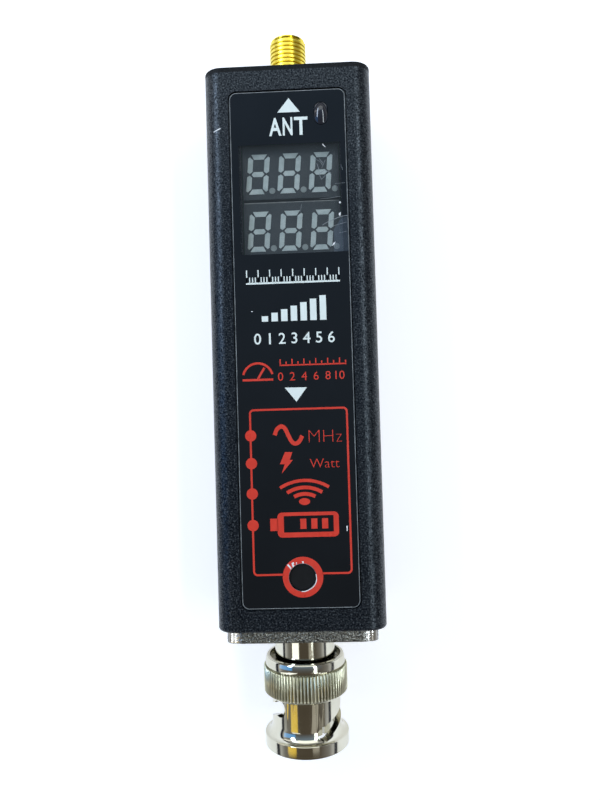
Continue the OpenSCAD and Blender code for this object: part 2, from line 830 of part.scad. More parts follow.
module bnc_insulator() color("#ecebe4") down_from(shank_y)
    tube_ring(0, shank_y - rear_y + insulator_u, insulator_r, pin_r + seat_gap);

module bnc_centre_pin() color("#d9b24a") {
    down_from(shank_y)
        rotate_extrude() {
            pin_end = shank_y - rear_y + pin_u;
            polygon([[0, 0], [pin_r, 0], [pin_r, pin_end - 0.8], [pin_r / 2.5, pin_end], [0, pin_end]]);
        }
    rod(shank_y + tail_len, shank_y - fit_gap, min(tail_r, pin_r));
}

module contact_ferrule() color("#cfccc2") down_from(rear_y) difference() {
    slit_w = 0.5;
    slit_l = 5.5;
    ferrule_start = cavity_u - ferrule_seat;
    grip_u = cavity_u + gasket_t + slip_gap;
    bore_r = ferrule_r - ferrule_wall;
    root_bore_r = ferrule_root_r - ferrule_wall;
    rotate_extrude()
        polygon([[root_bore_r, ferrule_start], [ferrule_root_r, ferrule_start], [ferrule_root_r, grip_u],
            [ferrule_r, grip_u], [ferrule_r, ferrule_u], [bore_r, ferrule_u],
            [bore_r, grip_u + ferrule_wall], [root_bore_r, grip_u]]);
    for (a = [0, 90])
        rotate(a + 45)
            translate([0, 0, ferrule_u])
                cube([4 * ferrule_r, slit_w, 2 * slit_l], center = true);
}

module bnc_gasket() color("#2a2b2d") down_from(rear_y)
    tube_ring(cavity_u, gasket_t, gasket_r, ferrule_root_r + slip_gap);

// A curved spring washer: its middle bears on the body's flange and its two ends on the thrust washer
module wave_spring() color("#a9a79f") down_from(rear_y) {
    ring_out = body_flange_r;
    sag = spring_h - spring_t - fit_gap;
    bend = (ring_out * ring_out + sag * sag) / (2 * sag);
    intersection() {
        tube_ring(spring_u, spring_h, ring_out, washer_in_r);
        translate([0, 0, flange_u - bend - spring_t])
            rotate([90, 0, 0])
                difference() {
                    cylinder(h = 4 * ring_out, r = bend + spring_t, center = true, $fn = 128);
                    cylinder(h = 5 * ring_out, r = bend, center = true, $fn = 128);
                }
    }
}

module thrust_washer() color("#b9b7ae") down_from(rear_y)
    tube_ring(ring_u + ring_t, thrust_t, body_flange_r, washer_in_r);

module snap_ring() color("#8f8d86") down_from(rear_y) difference() {
    tube_ring(ring_u, ring_t, groove_r - fit_gap, neck_r + 0.4);
    translate([0, 0, ring_u - cut]) rotate(250) cube([2 * knurl_r, 2.4, ring_t + 2 * cut]);
}

// The sleeve's section from its rear rim to its mouth and back along the inside
function sleeve_outline() = concat(
    [[cavity_r, 0], [rim_r, 0]],
    [for (a = [arc_step:arc_step:90])
        [rim_r + (knurl_r - knurl_depth - rim_r) * sin(a), rim_arc_u * (1 - cos(a))]],
    [for (a = [0:arc_step:90])
        [barrel_r + (knurl_r - knurl_depth - barrel_r) * cos(a), knurl_u + shoulder_u * sin(a)]],
    [for (a = [0:arc_step:90])
        [barrel_r + (mouth_r - barrel_r) * (1 - cos(a)), flare_u + (mouth_u - flare_u) * sin(a)]],
    [[mouth_r, coupling_len], [bayonet_bore_r + 0.4, coupling_len], [bayonet_bore_r, coupling_len - 0.4],
        [bayonet_bore_r, cavity_u], [cavity_r, cavity_u], [cavity_r, ring_u + ring_t + fit_gap],
        [groove_r, ring_u + ring_t + fit_gap], [groove_r, ring_u - fit_gap], [cavity_r, ring_u - fit_gap]]);

// Ridges whose flanks run a little into the band's plain cylinder
module knurl_band() {
    valley_cut = 0.08;
    translate([0, 0, rim_arc_u])
        linear_extrude(knurl_u - rim_arc_u)
            difference() {
                polygon([for (i = [0:2 * knurl_count - 1])
                    let (r = knurl_r - (i % 2) * (knurl_depth + valley_cut), a = i * 180 / knurl_count)
                        [r * cos(a), r * sin(a)]]);
                circle(knurl_r - 2 * knurl_depth);
            }
}

// One bayonet slot: a row of straight milled passes that climbs round the barrel to the detent hole,
// and the groove inside the mouth by which a jack's stud enters it
module bayonet_cut() {
    turn = (detent_angle - entry_angle) / slot_steps;
    rise = (detent_u - entry_u) / slot_steps;
    run = barrel_r * turn * PI / 180;
    pass = norm([run, rise]) + slot_overlap;
    for (i = [0.5:slot_steps - 0.5])
        rotate(entry_angle + i * turn)
            translate([knurl_r, 0, entry_u + i * rise])
                rotate([atan(rise / run), 0, 0])
                    cube([knurl_r, pass, slot_w], center = true);
    rotate(detent_angle)
        translate([0, 0, detent_u])
            rotate([0, 90, 0])
                cylinder(h = 2 * knurl_r, r = detent_r);
    rotate(entry_angle) {
        translate([0, 0, entry_u])
            rotate([0, 90, 0])
                cylinder(h = 2 * knurl_r, r = entry_r);
        intersection() {
            translate([0, -entry_w / 2, entry_u]) cube([knurl_r, entry_w, coupling_len]);
            cylinder(h = 2 * coupling_len, r = stud_r);
        }
    }
}

module coupling_sleeve() color("#c9c6bc") down_from(rear_y) difference() {
    union() {
        rotate_extrude() polygon(sleeve_outline());
        knurl_band();
    }
    for (turn = [0, 180])
        rotate(turn)
            bayonet_cut();
}

housing();
top_cap();
top_cap_screws();
end_plate();
end_plate_screws();
front_overlay();
display_window();
led_display_upper();
led_segments_upper();
led_display_lower();
led_segments_lower();
main_board();
indicator_led();
indicator_lens();
mode_button();
switch_body();
switch_plunger();
switch_dome();
microcontroller();
charger_chip();
rf_shield();
usb_socket();
usb_tongue();
battery_cell();
battery_pad();
battery_lead_red();
battery_lead_black();
sma_body();
sma_nut();
sma_lock_washer();
sma_insulator();
sma_contact();
bnc_body();
bnc_nut();
bnc_lock_washer();
bnc_insulator();
bnc_centre_pin();
contact_ferrule();
bnc_gasket();
wave_spring();
thrust_washer();
snap_ring();
coupling_sleeve();
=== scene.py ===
"""Dresses the pocket radio meter: its finishes, the print and wear of its front film, the thread of its
jack and the knurled bayonet coupling of its plug."""

import json
import math

import bmesh
import bpy
from mathutils import Matrix, Vector


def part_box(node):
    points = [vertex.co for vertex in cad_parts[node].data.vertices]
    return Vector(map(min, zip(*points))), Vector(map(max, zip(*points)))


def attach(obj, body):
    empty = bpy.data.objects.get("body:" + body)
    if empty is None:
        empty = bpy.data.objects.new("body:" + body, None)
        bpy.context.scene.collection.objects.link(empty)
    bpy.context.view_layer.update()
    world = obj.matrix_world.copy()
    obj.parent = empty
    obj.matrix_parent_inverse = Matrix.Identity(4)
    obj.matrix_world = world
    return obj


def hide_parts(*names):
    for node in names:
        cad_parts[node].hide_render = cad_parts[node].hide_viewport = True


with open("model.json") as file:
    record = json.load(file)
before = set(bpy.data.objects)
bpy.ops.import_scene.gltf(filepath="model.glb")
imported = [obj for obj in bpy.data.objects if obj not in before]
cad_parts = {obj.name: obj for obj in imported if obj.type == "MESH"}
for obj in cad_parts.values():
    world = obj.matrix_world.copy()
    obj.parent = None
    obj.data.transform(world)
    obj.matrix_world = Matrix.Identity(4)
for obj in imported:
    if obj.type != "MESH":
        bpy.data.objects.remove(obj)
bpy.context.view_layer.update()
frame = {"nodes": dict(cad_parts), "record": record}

# Millimetres in metres, and sizes in millimetres as the solids have them
MM = 0.001
AXIS_Z = 10.0
FILM_TOP = 19.9
COUPLING_REAR_Y = -46.45
JACK_TIP_Y = 61.55
DIGIT_PITCH = 5.2
POINT_R = 0.5
BUTTON_AT = (0.35, -31.25)
BUTTON_HOLE_R = 2.2
INK_PROUD = 0.012
INK_SUNK = 0.006

scene = bpy.context.scene
scene.view_settings.view_transform = "Standard"


# Node helpers


def add_node(tree, kind, inputs=(), **settings):
    node = tree.nodes.new(kind)
    for key, value in settings.items():
        setattr(node, key, value)
    for key, value in dict(inputs).items():
        node.inputs[key].default_value = value
    return node


def wire(giver, out, taker, into):
    giver.id_data.links.new(giver.outputs[out], taker.inputs[into])


def rgba(colour):
    return (*colour, 1.0)


def object_noise(tree, scale, detail=3.0, rough=0.6, stretch=(1, 1, 1)):
    """A noise in the piece's own coordinates, with features about 1/scale metres across."""
    coords = add_node(tree, "ShaderNodeTexCoord")
    mapping = add_node(tree, "ShaderNodeMapping", {"Scale": stretch})
    noise = add_node(tree, "ShaderNodeTexNoise", {"Scale": scale, "Detail": detail, "Roughness": rough})
    wire(coords, "Object", mapping, "Vector")
    wire(mapping, "Vector", noise, "Vector")
    return noise.outputs["Fac"]


def ramp(tree, source, stops):
    node = add_node(tree, "ShaderNodeValToRGB")
    elements = node.color_ramp.elements
    elements.remove(elements[1])
    elements[0].position, elements[0].color = stops[0][0], rgba(stops[0][1])
    for place, colour in stops[1:]:
        elements.new(place).color = rgba(colour)
    tree.links.new(source, node.inputs["Fac"])
    return node.outputs["Color"]


def spread(tree, source, low, high):
    """Stretches the middle of a noise over a range of values."""
    node = add_node(tree, "ShaderNodeMapRange", {"From Min": 0.3, "From Max": 0.7,
                                                 "To Min": low, "To Max": high})
    tree.links.new(source, node.inputs["Value"])
    return node.outputs["Result"]


def bumps(tree, source, strength, depth, normal=None):
    node = add_node(tree, "ShaderNodeBump", {"Strength": strength, "Distance": depth})
    tree.links.new(source, node.inputs["Height"])
    if normal is not None:
        tree.links.new(normal, node.inputs["Normal"])
    return node.outputs["Normal"]


# Finishes


def finish(name, tones, tone_scale, rough, bump=None, stretch=(1, 1, 1), **fixed):
    """A finish whose colour wanders between tones, whose roughness wanders between two values, and whose
    surface may be grained: bump is (scale, strength, depth in metres)."""
    made = bpy.data.materials.new(name)
    made.use_nodes = True
    tree = made.node_tree
    shader = tree.nodes["Principled BSDF"]
    for key, value in fixed.items():
        shader.inputs[key.replace("_", " ")].default_value = value
    tone = object_noise(tree, tone_scale, stretch=stretch)
    stops = [(0.3 + 0.4 * i / (len(tones) - 1), colour) for i, colour in enumerate(tones)]
    tree.links.new(ramp(tree, tone, stops), shader.inputs["Base Color"])
    wander = object_noise(tree, tone_scale * 0.37, stretch=stretch)
    tree.links.new(spread(tree, wander, *rough), shader.inputs["Roughness"])
    if bump:
        scale, strength, depth = bump
        grain = object_noise(tree, scale, detail=2.0, stretch=stretch)
        tree.links.new(bumps(tree, grain, strength, depth), shader.inputs["Normal"])
    return made


def tinted_by(tree, source, stops):
    """Multiplies a finish's colour by a ramp over a source."""
    colour = tree.nodes["Principled BSDF"].inputs["Base Color"]
    mix = add_node(tree, "ShaderNodeMix", {0: 1.0}, data_type="RGBA", blend_type="MULTIPLY")
    tree.links.new(colour.links[0].from_socket, mix.inputs[6])
    tree.links.new(ramp(tree, source, stops), mix.inputs[7])
    tree.links.new(mix.outputs[2], colour)


def blasted_black(name):
    """Black anodise over a blasted tube with a fine grain, and fine lighter specks in its base colour:
    painted glints for the sparkle of the grain.
    """
    made = finish(name, [(0.0008, 0.0018, 0.0040), (0.0020, 0.0038, 0.0072)], 1400, (0.27, 0.38),
                  Specular_IOR_Level=0.42, Specular_Tint=(0.80, 0.90, 1.0, 1.0))
    tree = made.node_tree
    shader = tree.nodes["Principled BSDF"]
    grain = object_noise(tree, 2600, detail=2.5, rough=0.7)
    tree.links.new(bumps(tree, grain, 0.4, 0.00010), shader.inputs["Normal"])
    facets = object_noise(tree, 3600, detail=1.5)
    tree.links.new(spread(tree, facets, 0.02, 0.78), shader.inputs["Specular IOR Level"])
    # Lighter specks mixed into the base colour: painted glints standing for the sparkle of the blasted grain.
    glint_noise = object_noise(tree, 3800, detail=1.0, rough=0.5)
    tone = shader.inputs["Base Color"].links[0].from_socket
    painted_glints = ramp(tree, glint_noise, [(0.52, (0, 0, 0)), (0.70, (1, 1, 1))])
    mix = add_node(tree, "ShaderNodeMix", data_type="RGBA", blend_type="MIX")
    mix.inputs[7].default_value = (0.060, 0.068, 0.075, 1.0)
    tree.links.new(painted_glints, mix.inputs[0])
    tree.links.new(tone, mix.inputs[6])
    wire(mix, 2, shader, "Base Color")
    return made


def cast_plate(name):
    """Nickel over a rough casting, pitted on its flats and rubbed smoother at its two sides, where a much
    brighter base colour is a painted highlight for the reflections on the side rounds.
    """
    made = finish(name, [(0.02, 0.0195, 0.017), (0.42, 0.41, 0.36)], 3200, (0.20, 0.36),
                  bump=(3000, 1.0, 0.0002), Metallic=1.0)
    flat_end, rubbed_from, round_end = 9.8 * MM, 10.8 * MM, 11.2 * MM
    tree = made.node_tree
    shader = tree.nodes["Principled BSDF"]
    coords = add_node(tree, "ShaderNodeTexCoord")
    parts = add_node(tree, "ShaderNodeSeparateXYZ")
    across = add_node(tree, "ShaderNodeMath", operation="ABSOLUTE")
    # Mask of the two sides: it smooths and calms the metal there and carries the painted highlight.
    rubbed_and_highlit = add_node(tree, "ShaderNodeMapRange", {"From Min": flat_end, "From Max": rubbed_from})
    wire(coords, "Object", parts, 0)
    wire(parts, "X", across, 0)
    wire(across, 0, rubbed_and_highlit, "Value")
    worn_round = add_node(tree, "ShaderNodeMapRange", {"From Min": flat_end, "From Max": round_end,
                                                       "To Min": 1.0, "To Max": 0.0})
    wire(across, 0, worn_round, "Value")
    grain = shader.inputs["Normal"].links[0].from_node
    tree.links.new(bumps(tree, worn_round.outputs["Result"], 1.0, 0.0004), grain.inputs["Normal"])
    calm = add_node(tree, "ShaderNodeMapRange", {"To Min": 1.0, "To Max": 0.05})
    wire(rubbed_and_highlit, "Result", calm, "Value")
    wire(calm, "Result", grain, "Strength")
    # At the sides the base colour turns near white with dark pits: a painted highlight for the bright
    # reflections on the side rounds, laid on their rubbed, smoother metal.
    pits_on_highlight = ramp(tree, object_noise(tree, 2600), [(0.30, (0.10, 0.10, 0.09)), (0.38, (0.95, 0.95, 0.93))])
    for socket, bright in (("Base Color", None), ("Roughness", (0.12, 0.12, 0.12, 1.0))):
        rough_cast = shader.inputs[socket].links[0].from_socket
        mix = add_node(tree, "ShaderNodeMix", data_type="RGBA", blend_type="MIX")
        if bright:
            mix.inputs[7].default_value = bright
        else:
            tree.links.new(pits_on_highlight, mix.inputs[7])
        wire(rubbed_and_highlit, "Result", mix, 0)
        tree.links.new(rough_cast, mix.inputs[6])
        tree.links.new(mix.outputs[2], shader.inputs[socket])
    return made


def unlit_digits(name):
    """Milky segments with their points, which are smaller and duller, at the foot of each digit."""
    made = finish(name, [(0.38, 0.45, 0.44), (0.53, 0.60, 0.585)], 700, (0.35, 0.5),
                  bump=(2600, 0.1, 0.00003))
    tree = made.node_tree
    low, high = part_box("led_segments_lower"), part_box("led_segments_upper")
    last_point = (low[1][0] - POINT_R * MM, low[0][1] + POINT_R * MM)
    reach = (DIGIT_PITCH * MM / 2, (high[0][1] - low[0][1]) / 2)
    coords = add_node(tree, "ShaderNodeTexCoord")
    from_point = add_node(tree, "ShaderNodeVectorMath", {1: (*last_point, 0)}, operation="SUBTRACT")
    nearest = add_node(tree, "ShaderNodeVectorMath", {1: (*reach, 1), 2: (-reach[0], -reach[1], -1)},
                       operation="WRAP")
    flat = add_node(tree, "ShaderNodeVectorMath", {1: (1, 1, 0)}, operation="MULTIPLY")
    away = add_node(tree, "ShaderNodeVectorMath", operation="LENGTH")
    dull = add_node(tree, "ShaderNodeMapRange", {"From Min": (POINT_R + 0.02) * MM,
                                                 "From Max": (POINT_R + 0.06) * MM})
    wire(coords, "Object", from_point, 0)
    wire(from_point, 0, nearest, 0)
    wire(nearest, 0, flat, 0)
    wire(flat, 0, away, 0)
    wire(away, "Value", dull, "Value")
    tinted_by(tree, dull.outputs["Result"], [(0.0, (0.5, 0.5, 0.5)), (1.0, (1, 1, 1))])
    return made


def stain_roots(made, low, high, root_shade):
    """Darkens a finish down in the roots of a thread or knurl, between two radii from the long axis: painted
    shade in the roots.
    """
    tree = made.node_tree
    coords = add_node(tree, "ShaderNodeTexCoord")
    from_axis = add_node(tree, "ShaderNodeVectorMath", {1: (0, 0, -AXIS_Z * MM)}, operation="ADD")
    flat = add_node(tree, "ShaderNodeVectorMath", {1: (1, 0, 1)}, operation="MULTIPLY")
    radius = add_node(tree, "ShaderNodeVectorMath", operation="LENGTH")
    height = add_node(tree, "ShaderNodeMapRange", {"From Min": low * MM, "From Max": high * MM})
    wire(coords, "Object", from_axis, 0)
    wire(from_axis, 0, flat, 0)
    wire(flat, 0, radius, 0)
    wire(radius, "Value", height, "Value")
    tinted_by(tree, height.outputs["Result"], [(0.0, root_shade), (1.0, (1, 1, 1))])


blasted_tube = blasted_black("blasted_tube")
cap_plastic = finish("cap_plastic", [(0.0050, 0.0060, 0.0075), (0.0170, 0.0190, 0.0215)], 2800, (0.45, 0.6),
                     bump=(3000, 0.6, 0.00010), Specular_IOR_Level=0.10)
gloss_film = finish("gloss_film", [(0.0056, 0.0076, 0.0098), (0.0070, 0.0092, 0.0120)], 120, (0.025, 0.06),
                    bump=(300, 0.04, 0.00005))
white_ink = finish("white_ink", [(0.80, 0.87, 0.84), (0.86, 0.93, 0.90)], 700, (0.3, 0.45))
red_ink = finish("red_ink", [(0.67, 0.044, 0.026), (0.77, 0.056, 0.033)], 600, (0.25, 0.4))
# The film's cut edge: its own pale edge with a painted highlight on it.
cut_edge_highlight = finish("cut_edge_highlight", [(0.10, 0.11, 0.115), (0.34, 0.36, 0.37)], 500, (0.3, 0.5))
chipped_film = finish("chipped_film", [(0.75, 0.76, 0.78), (0.95, 0.95, 0.95)], 2500, (0.3, 0.5),
                      bump=(4000, 0.5, 0.00008))
# Painted highlight on the lower display's top edge.
pale_edge_highlight = finish("pale_edge_highlight", [(0.10, 0.11, 0.11), (0.22, 0.23, 0.225)], 900, (0.35, 0.5))
scratched_film = finish("scratched_film", [(0.22, 0.25, 0.28), (0.5, 0.54, 0.57)], 1200, (0.3, 0.5),
                        Alpha=0.55)
# A bluish see-through tint: a painted reflection of glare on the film.
glare_film = finish("glare_film", [(0.10, 0.14, 0.20), (0.22, 0.28, 0.36)], 500, (0.25, 0.45), Alpha=0.16)
window_film = finish("window_film", [(0.10, 0.12, 0.13), (0.16, 0.18, 0.19)], 90, (0.04, 0.10), Alpha=0.10)
display_face = finish("display_face", [(0.014, 0.021, 0.026), (0.022, 0.029, 0.034)], 260, (0.35, 0.5),
                      bump=(2500, 0.08, 0.00003))
unlit_segments = unlit_digits("unlit_segments")
smoked_lens = finish("smoked_lens", [(0.012, 0.013, 0.019), (0.022, 0.023, 0.033)], 400, (0.03, 0.07),
                     Specular_IOR_Level=0.75)
satin_button = finish("satin_button", [(0.0035, 0.0037, 0.0042), (0.006, 0.0063, 0.0072)], 900, (0.5, 0.65),
                      bump=(3500, 0.1, 0.00003), Specular_IOR_Level=0.25)
polished_nickel = finish("polished_nickel", [(0.58, 0.555, 0.445), (0.69, 0.665, 0.56)], 160, (0.06, 0.13),
                         bump=(420, 0.05, 0.00006), Metallic=1.0)
knurled_nickel = finish("knurled_nickel", [(0.76, 0.74, 0.55), (0.96, 0.94, 0.73)], 900, (0.26, 0.40),
                        bump=(3000, 0.15, 0.00005), Metallic=1.0)
# Painted shade down in the knurl's roots.
stain_roots(knurled_nickel, 6.95, 7.2, (0.30, 0.29, 0.22))
cast_nickel = cast_plate("cast_nickel")
plated_gold = finish("plated_gold", [(0.84, 0.65, 0.07), (0.94, 0.76, 0.12)], 300, (0.10, 0.20),
                     bump=(900, 0.06, 0.00004), Metallic=1.0)
thread_gold = finish("thread_gold", [(0.84, 0.65, 0.07), (0.94, 0.76, 0.12)], 300, (0.24, 0.34),
                     bump=(900, 0.06, 0.00004), Metallic=1.0)
# Painted shade down in the thread's roots.
stain_roots(thread_gold, 2.88, 3.12, (0.5, 0.35, 0.2))
spring_steel = finish("spring_steel", [(0.40, 0.40, 0.39), (0.56, 0.55, 0.53)], 500, (0.2, 0.34),
                      Metallic=1.0)
black_screw_steel = finish("black_screw_steel", [(0.03, 0.03, 0.032), (0.06, 0.06, 0.064)], 900, (0.3, 0.45),
                           bump=(2500, 0.2, 0.00004), Metallic=0.8)
tinned_sheet = finish("tinned_sheet", [(0.50, 0.51, 0.52), (0.62, 0.63, 0.64)], 220, (0.22, 0.4),
                      Metallic=1.0)
white_insulator = finish("white_insulator", [(0.74, 0.73, 0.68), (0.82, 0.81, 0.77)], 400, (0.4, 0.55),
                         Subsurface_Weight=0.1)
solder_mask = finish("solder_mask", [(0.010, 0.085, 0.035), (0.018, 0.13, 0.06)], 350, (0.25, 0.4),
                     bump=(900, 0.15, 0.00005))
moulded_black = finish("moulded_black", [(0.014, 0.0145, 0.016), (0.024, 0.025, 0.027)], 1500, (0.45, 0.6),
                       bump=(3200, 0.2, 0.00004))
cream_epoxy = finish("cream_epoxy", [(0.66, 0.62, 0.46), (0.76, 0.73, 0.58)], 600, (0.2, 0.35))
cell_foil = finish("cell_foil", [(0.50, 0.53, 0.55), (0.60, 0.63, 0.65)], 150, (0.3, 0.45),
                   bump=(200, 0.3, 0.0002), Metallic=1.0)
foam_pad = finish("foam_pad", [(0.02, 0.02, 0.022), (0.045, 0.045, 0.048)], 2200, (0.8, 0.95),
                  bump=(2600, 0.8, 0.0002))
red_insulation = finish("red_insulation", [(0.42, 0.012, 0.008), (0.52, 0.02, 0.014)], 500, (0.35, 0.5))
black_insulation = finish("black_insulation", [(0.010, 0.010, 0.011), (0.018, 0.018, 0.019)], 500,
                          (0.35, 0.5))
seal_rubber = finish("seal_rubber", [(0.016, 0.016, 0.017), (0.03, 0.03, 0.032)], 900, (0.6, 0.8),
                     bump=(1800, 0.2, 0.00006))


# Pieces


def body_of(node):
    return next(name for name, nodes in frame["record"]["behaviour"]["bodies"].items() if node in nodes)


def place_piece(name, mesh, material, node):
    """Adds a piece that rides with a node's body and shares its slot."""
    piece = bpy.data.objects.new(name, mesh)
    scene.collection.objects.link(piece)
    mesh.materials.clear()
    mesh.materials.append(material)
    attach(piece, body_of(node))
    return piece


def rounded(mesh, angle=32):
    mesh.shade_smooth()
    mesh.set_sharp_from_angle(angle=math.radians(angle))
    return mesh


def to_mesh(name, solid):
    bmesh.ops.recalc_face_normals(solid, faces=solid.faces[:])
    mesh = bpy.data.meshes.new(name)
    solid.to_mesh(mesh)
    solid.free()
    return mesh


def evaluated_mesh(holder):
    """The result of an object's modifiers as a plain mesh; the object is removed."""
    bpy.context.view_layer.update()
    ready = holder.evaluated_get(bpy.context.evaluated_depsgraph_get())
    mesh = bpy.data.meshes.new_from_object(ready)
    bpy.data.objects.remove(holder)
    return mesh


def evened(name, mesh, angle):
    """A mesh with smooth rounds whose flats shade flat up to their edges."""
    holder = bpy.data.objects.new(name, rounded(mesh, angle))
    scene.collection.objects.link(holder)
    even = holder.modifiers.new("even", "WEIGHTED_NORMAL")
    even.weight = 100
    even.keep_sharp = True
    return evaluated_mesh(holder)


def smoothed(node, material, angle=32):
    """A copy of a node with its seams joined, so that its rounds shade as rounds and its flats as flats."""
    solid = bmesh.new()
    solid.from_mesh(frame["nodes"][node].data)
    bmesh.ops.remove_doubles(solid, verts=solid.verts[:], dist=1e-7)
    mesh = bpy.data.meshes.new(node + "_smooth")
    solid.to_mesh(mesh)
    solid.free()
    mesh.attributes.remove(mesh.attributes["custom_normal"])
    piece = place_piece(node + "_smooth", evened(node + "_blank", mesh, angle), material, node)
    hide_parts(node)
    return piece


def dress(node, material):
    slots = frame["nodes"][node].data.materials
    slots.clear()
    slots.append(material)


for node, material in {
    "housing": blasted_tube, "top_cap": cap_plastic, "end_plate": cast_nickel,
    "mode_button": satin_button, "contact_ferrule": polished_nickel,
    "sma_nut": plated_gold, "sma_lock_washer": plated_gold, "sma_insulator": white_insulator,
    "sma_contact": plated_gold, "bnc_insulator": white_insulator, "bnc_centre_pin": plated_gold,
    "snap_ring": spring_steel, "thrust_washer": polished_nickel, "wave_spring": spring_steel,
    "bnc_gasket": seal_rubber, "top_cap_screws": black_screw_steel, "end_plate_screws": polished_nickel,
    "usb_socket": tinned_sheet,
}.items():
    smoothed(node, material)

for node, material in {
    "front_overlay": gloss_film, "display_window": window_film, "led_display_upper": display_face,
    "led_display_lower": display_face, "led_segments_upper": unlit_segments,
    "led_segments_lower": unlit_segments, "main_board": solder_mask, "indicator_led": cream_epoxy,
    "switch_body": moulded_black, "switch_plunger": moulded_black, "switch_dome": spring_steel,
    "microcontroller": moulded_black, "charger_chip": moulded_black, "rf_shield": tinned_sheet,
    "usb_tongue": moulded_black, "battery_cell": cell_foil, "battery_pad": foam_pad,
    "battery_lead_red": red_insulation, "battery_lead_black": black_insulation,
    "bnc_nut": polished_nickel, "bnc_lock_washer": spring_steel,
}.items():
    dress(node, material)


# Geometry node trees


def new_tree(name, sockets):
    tree = bpy.data.node_groups.new(name, "GeometryNodeTree")
    tree.interface.new_socket(name="Geometry", in_out="INPUT", socket_type="NodeSocketGeometry")
    for label, kind in sockets:
        tree.interface.new_socket(name=label, in_out="INPUT", socket_type=kind)
    tree.interface.new_socket(name="Geometry", in_out="OUTPUT", socket_type="NodeSocketGeometry")
    return tree, tree.nodes.new("NodeGroupInput"), tree.nodes.new("NodeGroupOutput")


def close_tree(tree, geometry, entry, leave):
    """Ends a tree in real geometry with the tree's own material."""
    real = tree.nodes.new("GeometryNodeRealizeInstances")
    coat = tree.nodes.new("GeometryNodeSetMaterial")
    tree.links.new(geometry, real.inputs["Geometry"])
    wire(real, "Geometry", coat, "Geometry")
    wire(entry, "Material", coat, "Material")
    wire(coat, "Geometry", leave, "Geometry")


def run_tree(tree, seed_mesh, values):
    """Runs a tree on a seed mesh with the given inputs and returns the plain result."""
    holder = bpy.data.objects.new(tree.name, seed_mesh)
    scene.collection.objects.link(holder)
    step = holder.modifiers.new(tree.name, "NODES")
    step.node_group = tree
    for item in tree.interface.items_tree:
        if item.in_out == "INPUT" and item.name in values:
            step[item.identifier] = values[item.name]
    return evaluated_mesh(holder)


def ring_tree():
    """Copies one ridge round an axis along Y."""
    tree, entry, leave = new_tree("ring_of_ridges", [
        ("Count", "NodeSocketInt"), ("Centre", "NodeSocketVector"), ("Material", "NodeSocketMaterial")])
    line = add_node(tree, "GeometryNodeMeshLine", {"Offset": (0, 0, 0)})
    index = add_node(tree, "GeometryNodeInputIndex")
    share = add_node(tree, "ShaderNodeMath", operation="DIVIDE")
    angle = add_node(tree, "ShaderNodeMath", {1: 2 * math.pi}, operation="MULTIPLY")
    turn = add_node(tree, "ShaderNodeCombineXYZ")
    copies = add_node(tree, "GeometryNodeInstanceOnPoints")
    wire(entry, "Count", line, "Count")
    wire(entry, "Centre", line, "Start Location")
    wire(index, 0, share, 0)
    wire(entry, "Count", share, 1)
    wire(share, 0, angle, 0)
    wire(angle, 0, turn, "Y")
    wire(line, "Mesh", copies, "Points")
    wire(entry, "Geometry", copies, "Instance")
    wire(turn, 0, copies, "Rotation")
    close_tree(tree, copies.outputs["Instances"], entry, leave)
    return tree


def thread_tree():
    """Sweeps a thread's ridge up a helix along Z, then lays it along Y."""
    tree, entry, leave = new_tree("thread_ridge", [
        ("Turns", "NodeSocketFloat"), ("Radius", "NodeSocketFloat"), ("Length", "NodeSocketFloat"),
        ("Ridge", "NodeSocketFloat"), ("Start", "NodeSocketVector"), ("Material", "NodeSocketMaterial")])
    helix = add_node(tree, "GeometryNodeCurveSpiral", {"Resolution": 48})
    upright = add_node(tree, "GeometryNodeSetCurveNormal", mode="Z_UP")
    section = add_node(tree, "GeometryNodeCurvePrimitiveCircle", {"Resolution": 6}, mode="RADIUS")
    flat_out = add_node(tree, "GeometryNodeTransform", {"Rotation": (0, 0, math.pi / 6)})
    sweep = add_node(tree, "GeometryNodeCurveToMesh", {"Fill Caps": True})
    lay = add_node(tree, "GeometryNodeTransform", {"Rotation": (-math.pi / 2, 0, 0)})
    wire(entry, "Turns", helix, "Rotations")
    wire(entry, "Radius", helix, "Start Radius")
    wire(entry, "Radius", helix, "End Radius")
    wire(entry, "Length", helix, "Height")
    wire(helix, "Curve", upright, "Curve")
    wire(entry, "Ridge", section, "Radius")
    wire(upright, "Curve", sweep, "Curve")
    wire(section, "Curve", flat_out, "Geometry")
    wire(flat_out, "Geometry", sweep, "Profile Curve")
    wire(sweep, "Mesh", lay, "Geometry")
    wire(entry, "Start", lay, "Translation")
    close_tree(tree, lay.outputs["Geometry"], entry, leave)
    return tree


def tick_tree():
    """Sets one tick mark out along a row at an even pitch."""
    tree, entry, leave = new_tree("row_of_ticks", [
        ("Count", "NodeSocketInt"), ("First", "NodeSocketVector"), ("Pitch", "NodeSocketVector"),
        ("Material", "NodeSocketMaterial")])
    line = add_node(tree, "GeometryNodeMeshLine")
    copies = add_node(tree, "GeometryNodeInstanceOnPoints")
    wire(entry, "Count", line, "Count")
    wire(entry, "First", line, "Start Location")
    wire(entry, "Pitch", line, "Offset")
    wire(line, "Mesh", copies, "Points")
    wire(entry, "Geometry", copies, "Instance")
    close_tree(tree, copies.outputs["Instances"], entry, leave)
    return tree


# SMA jack


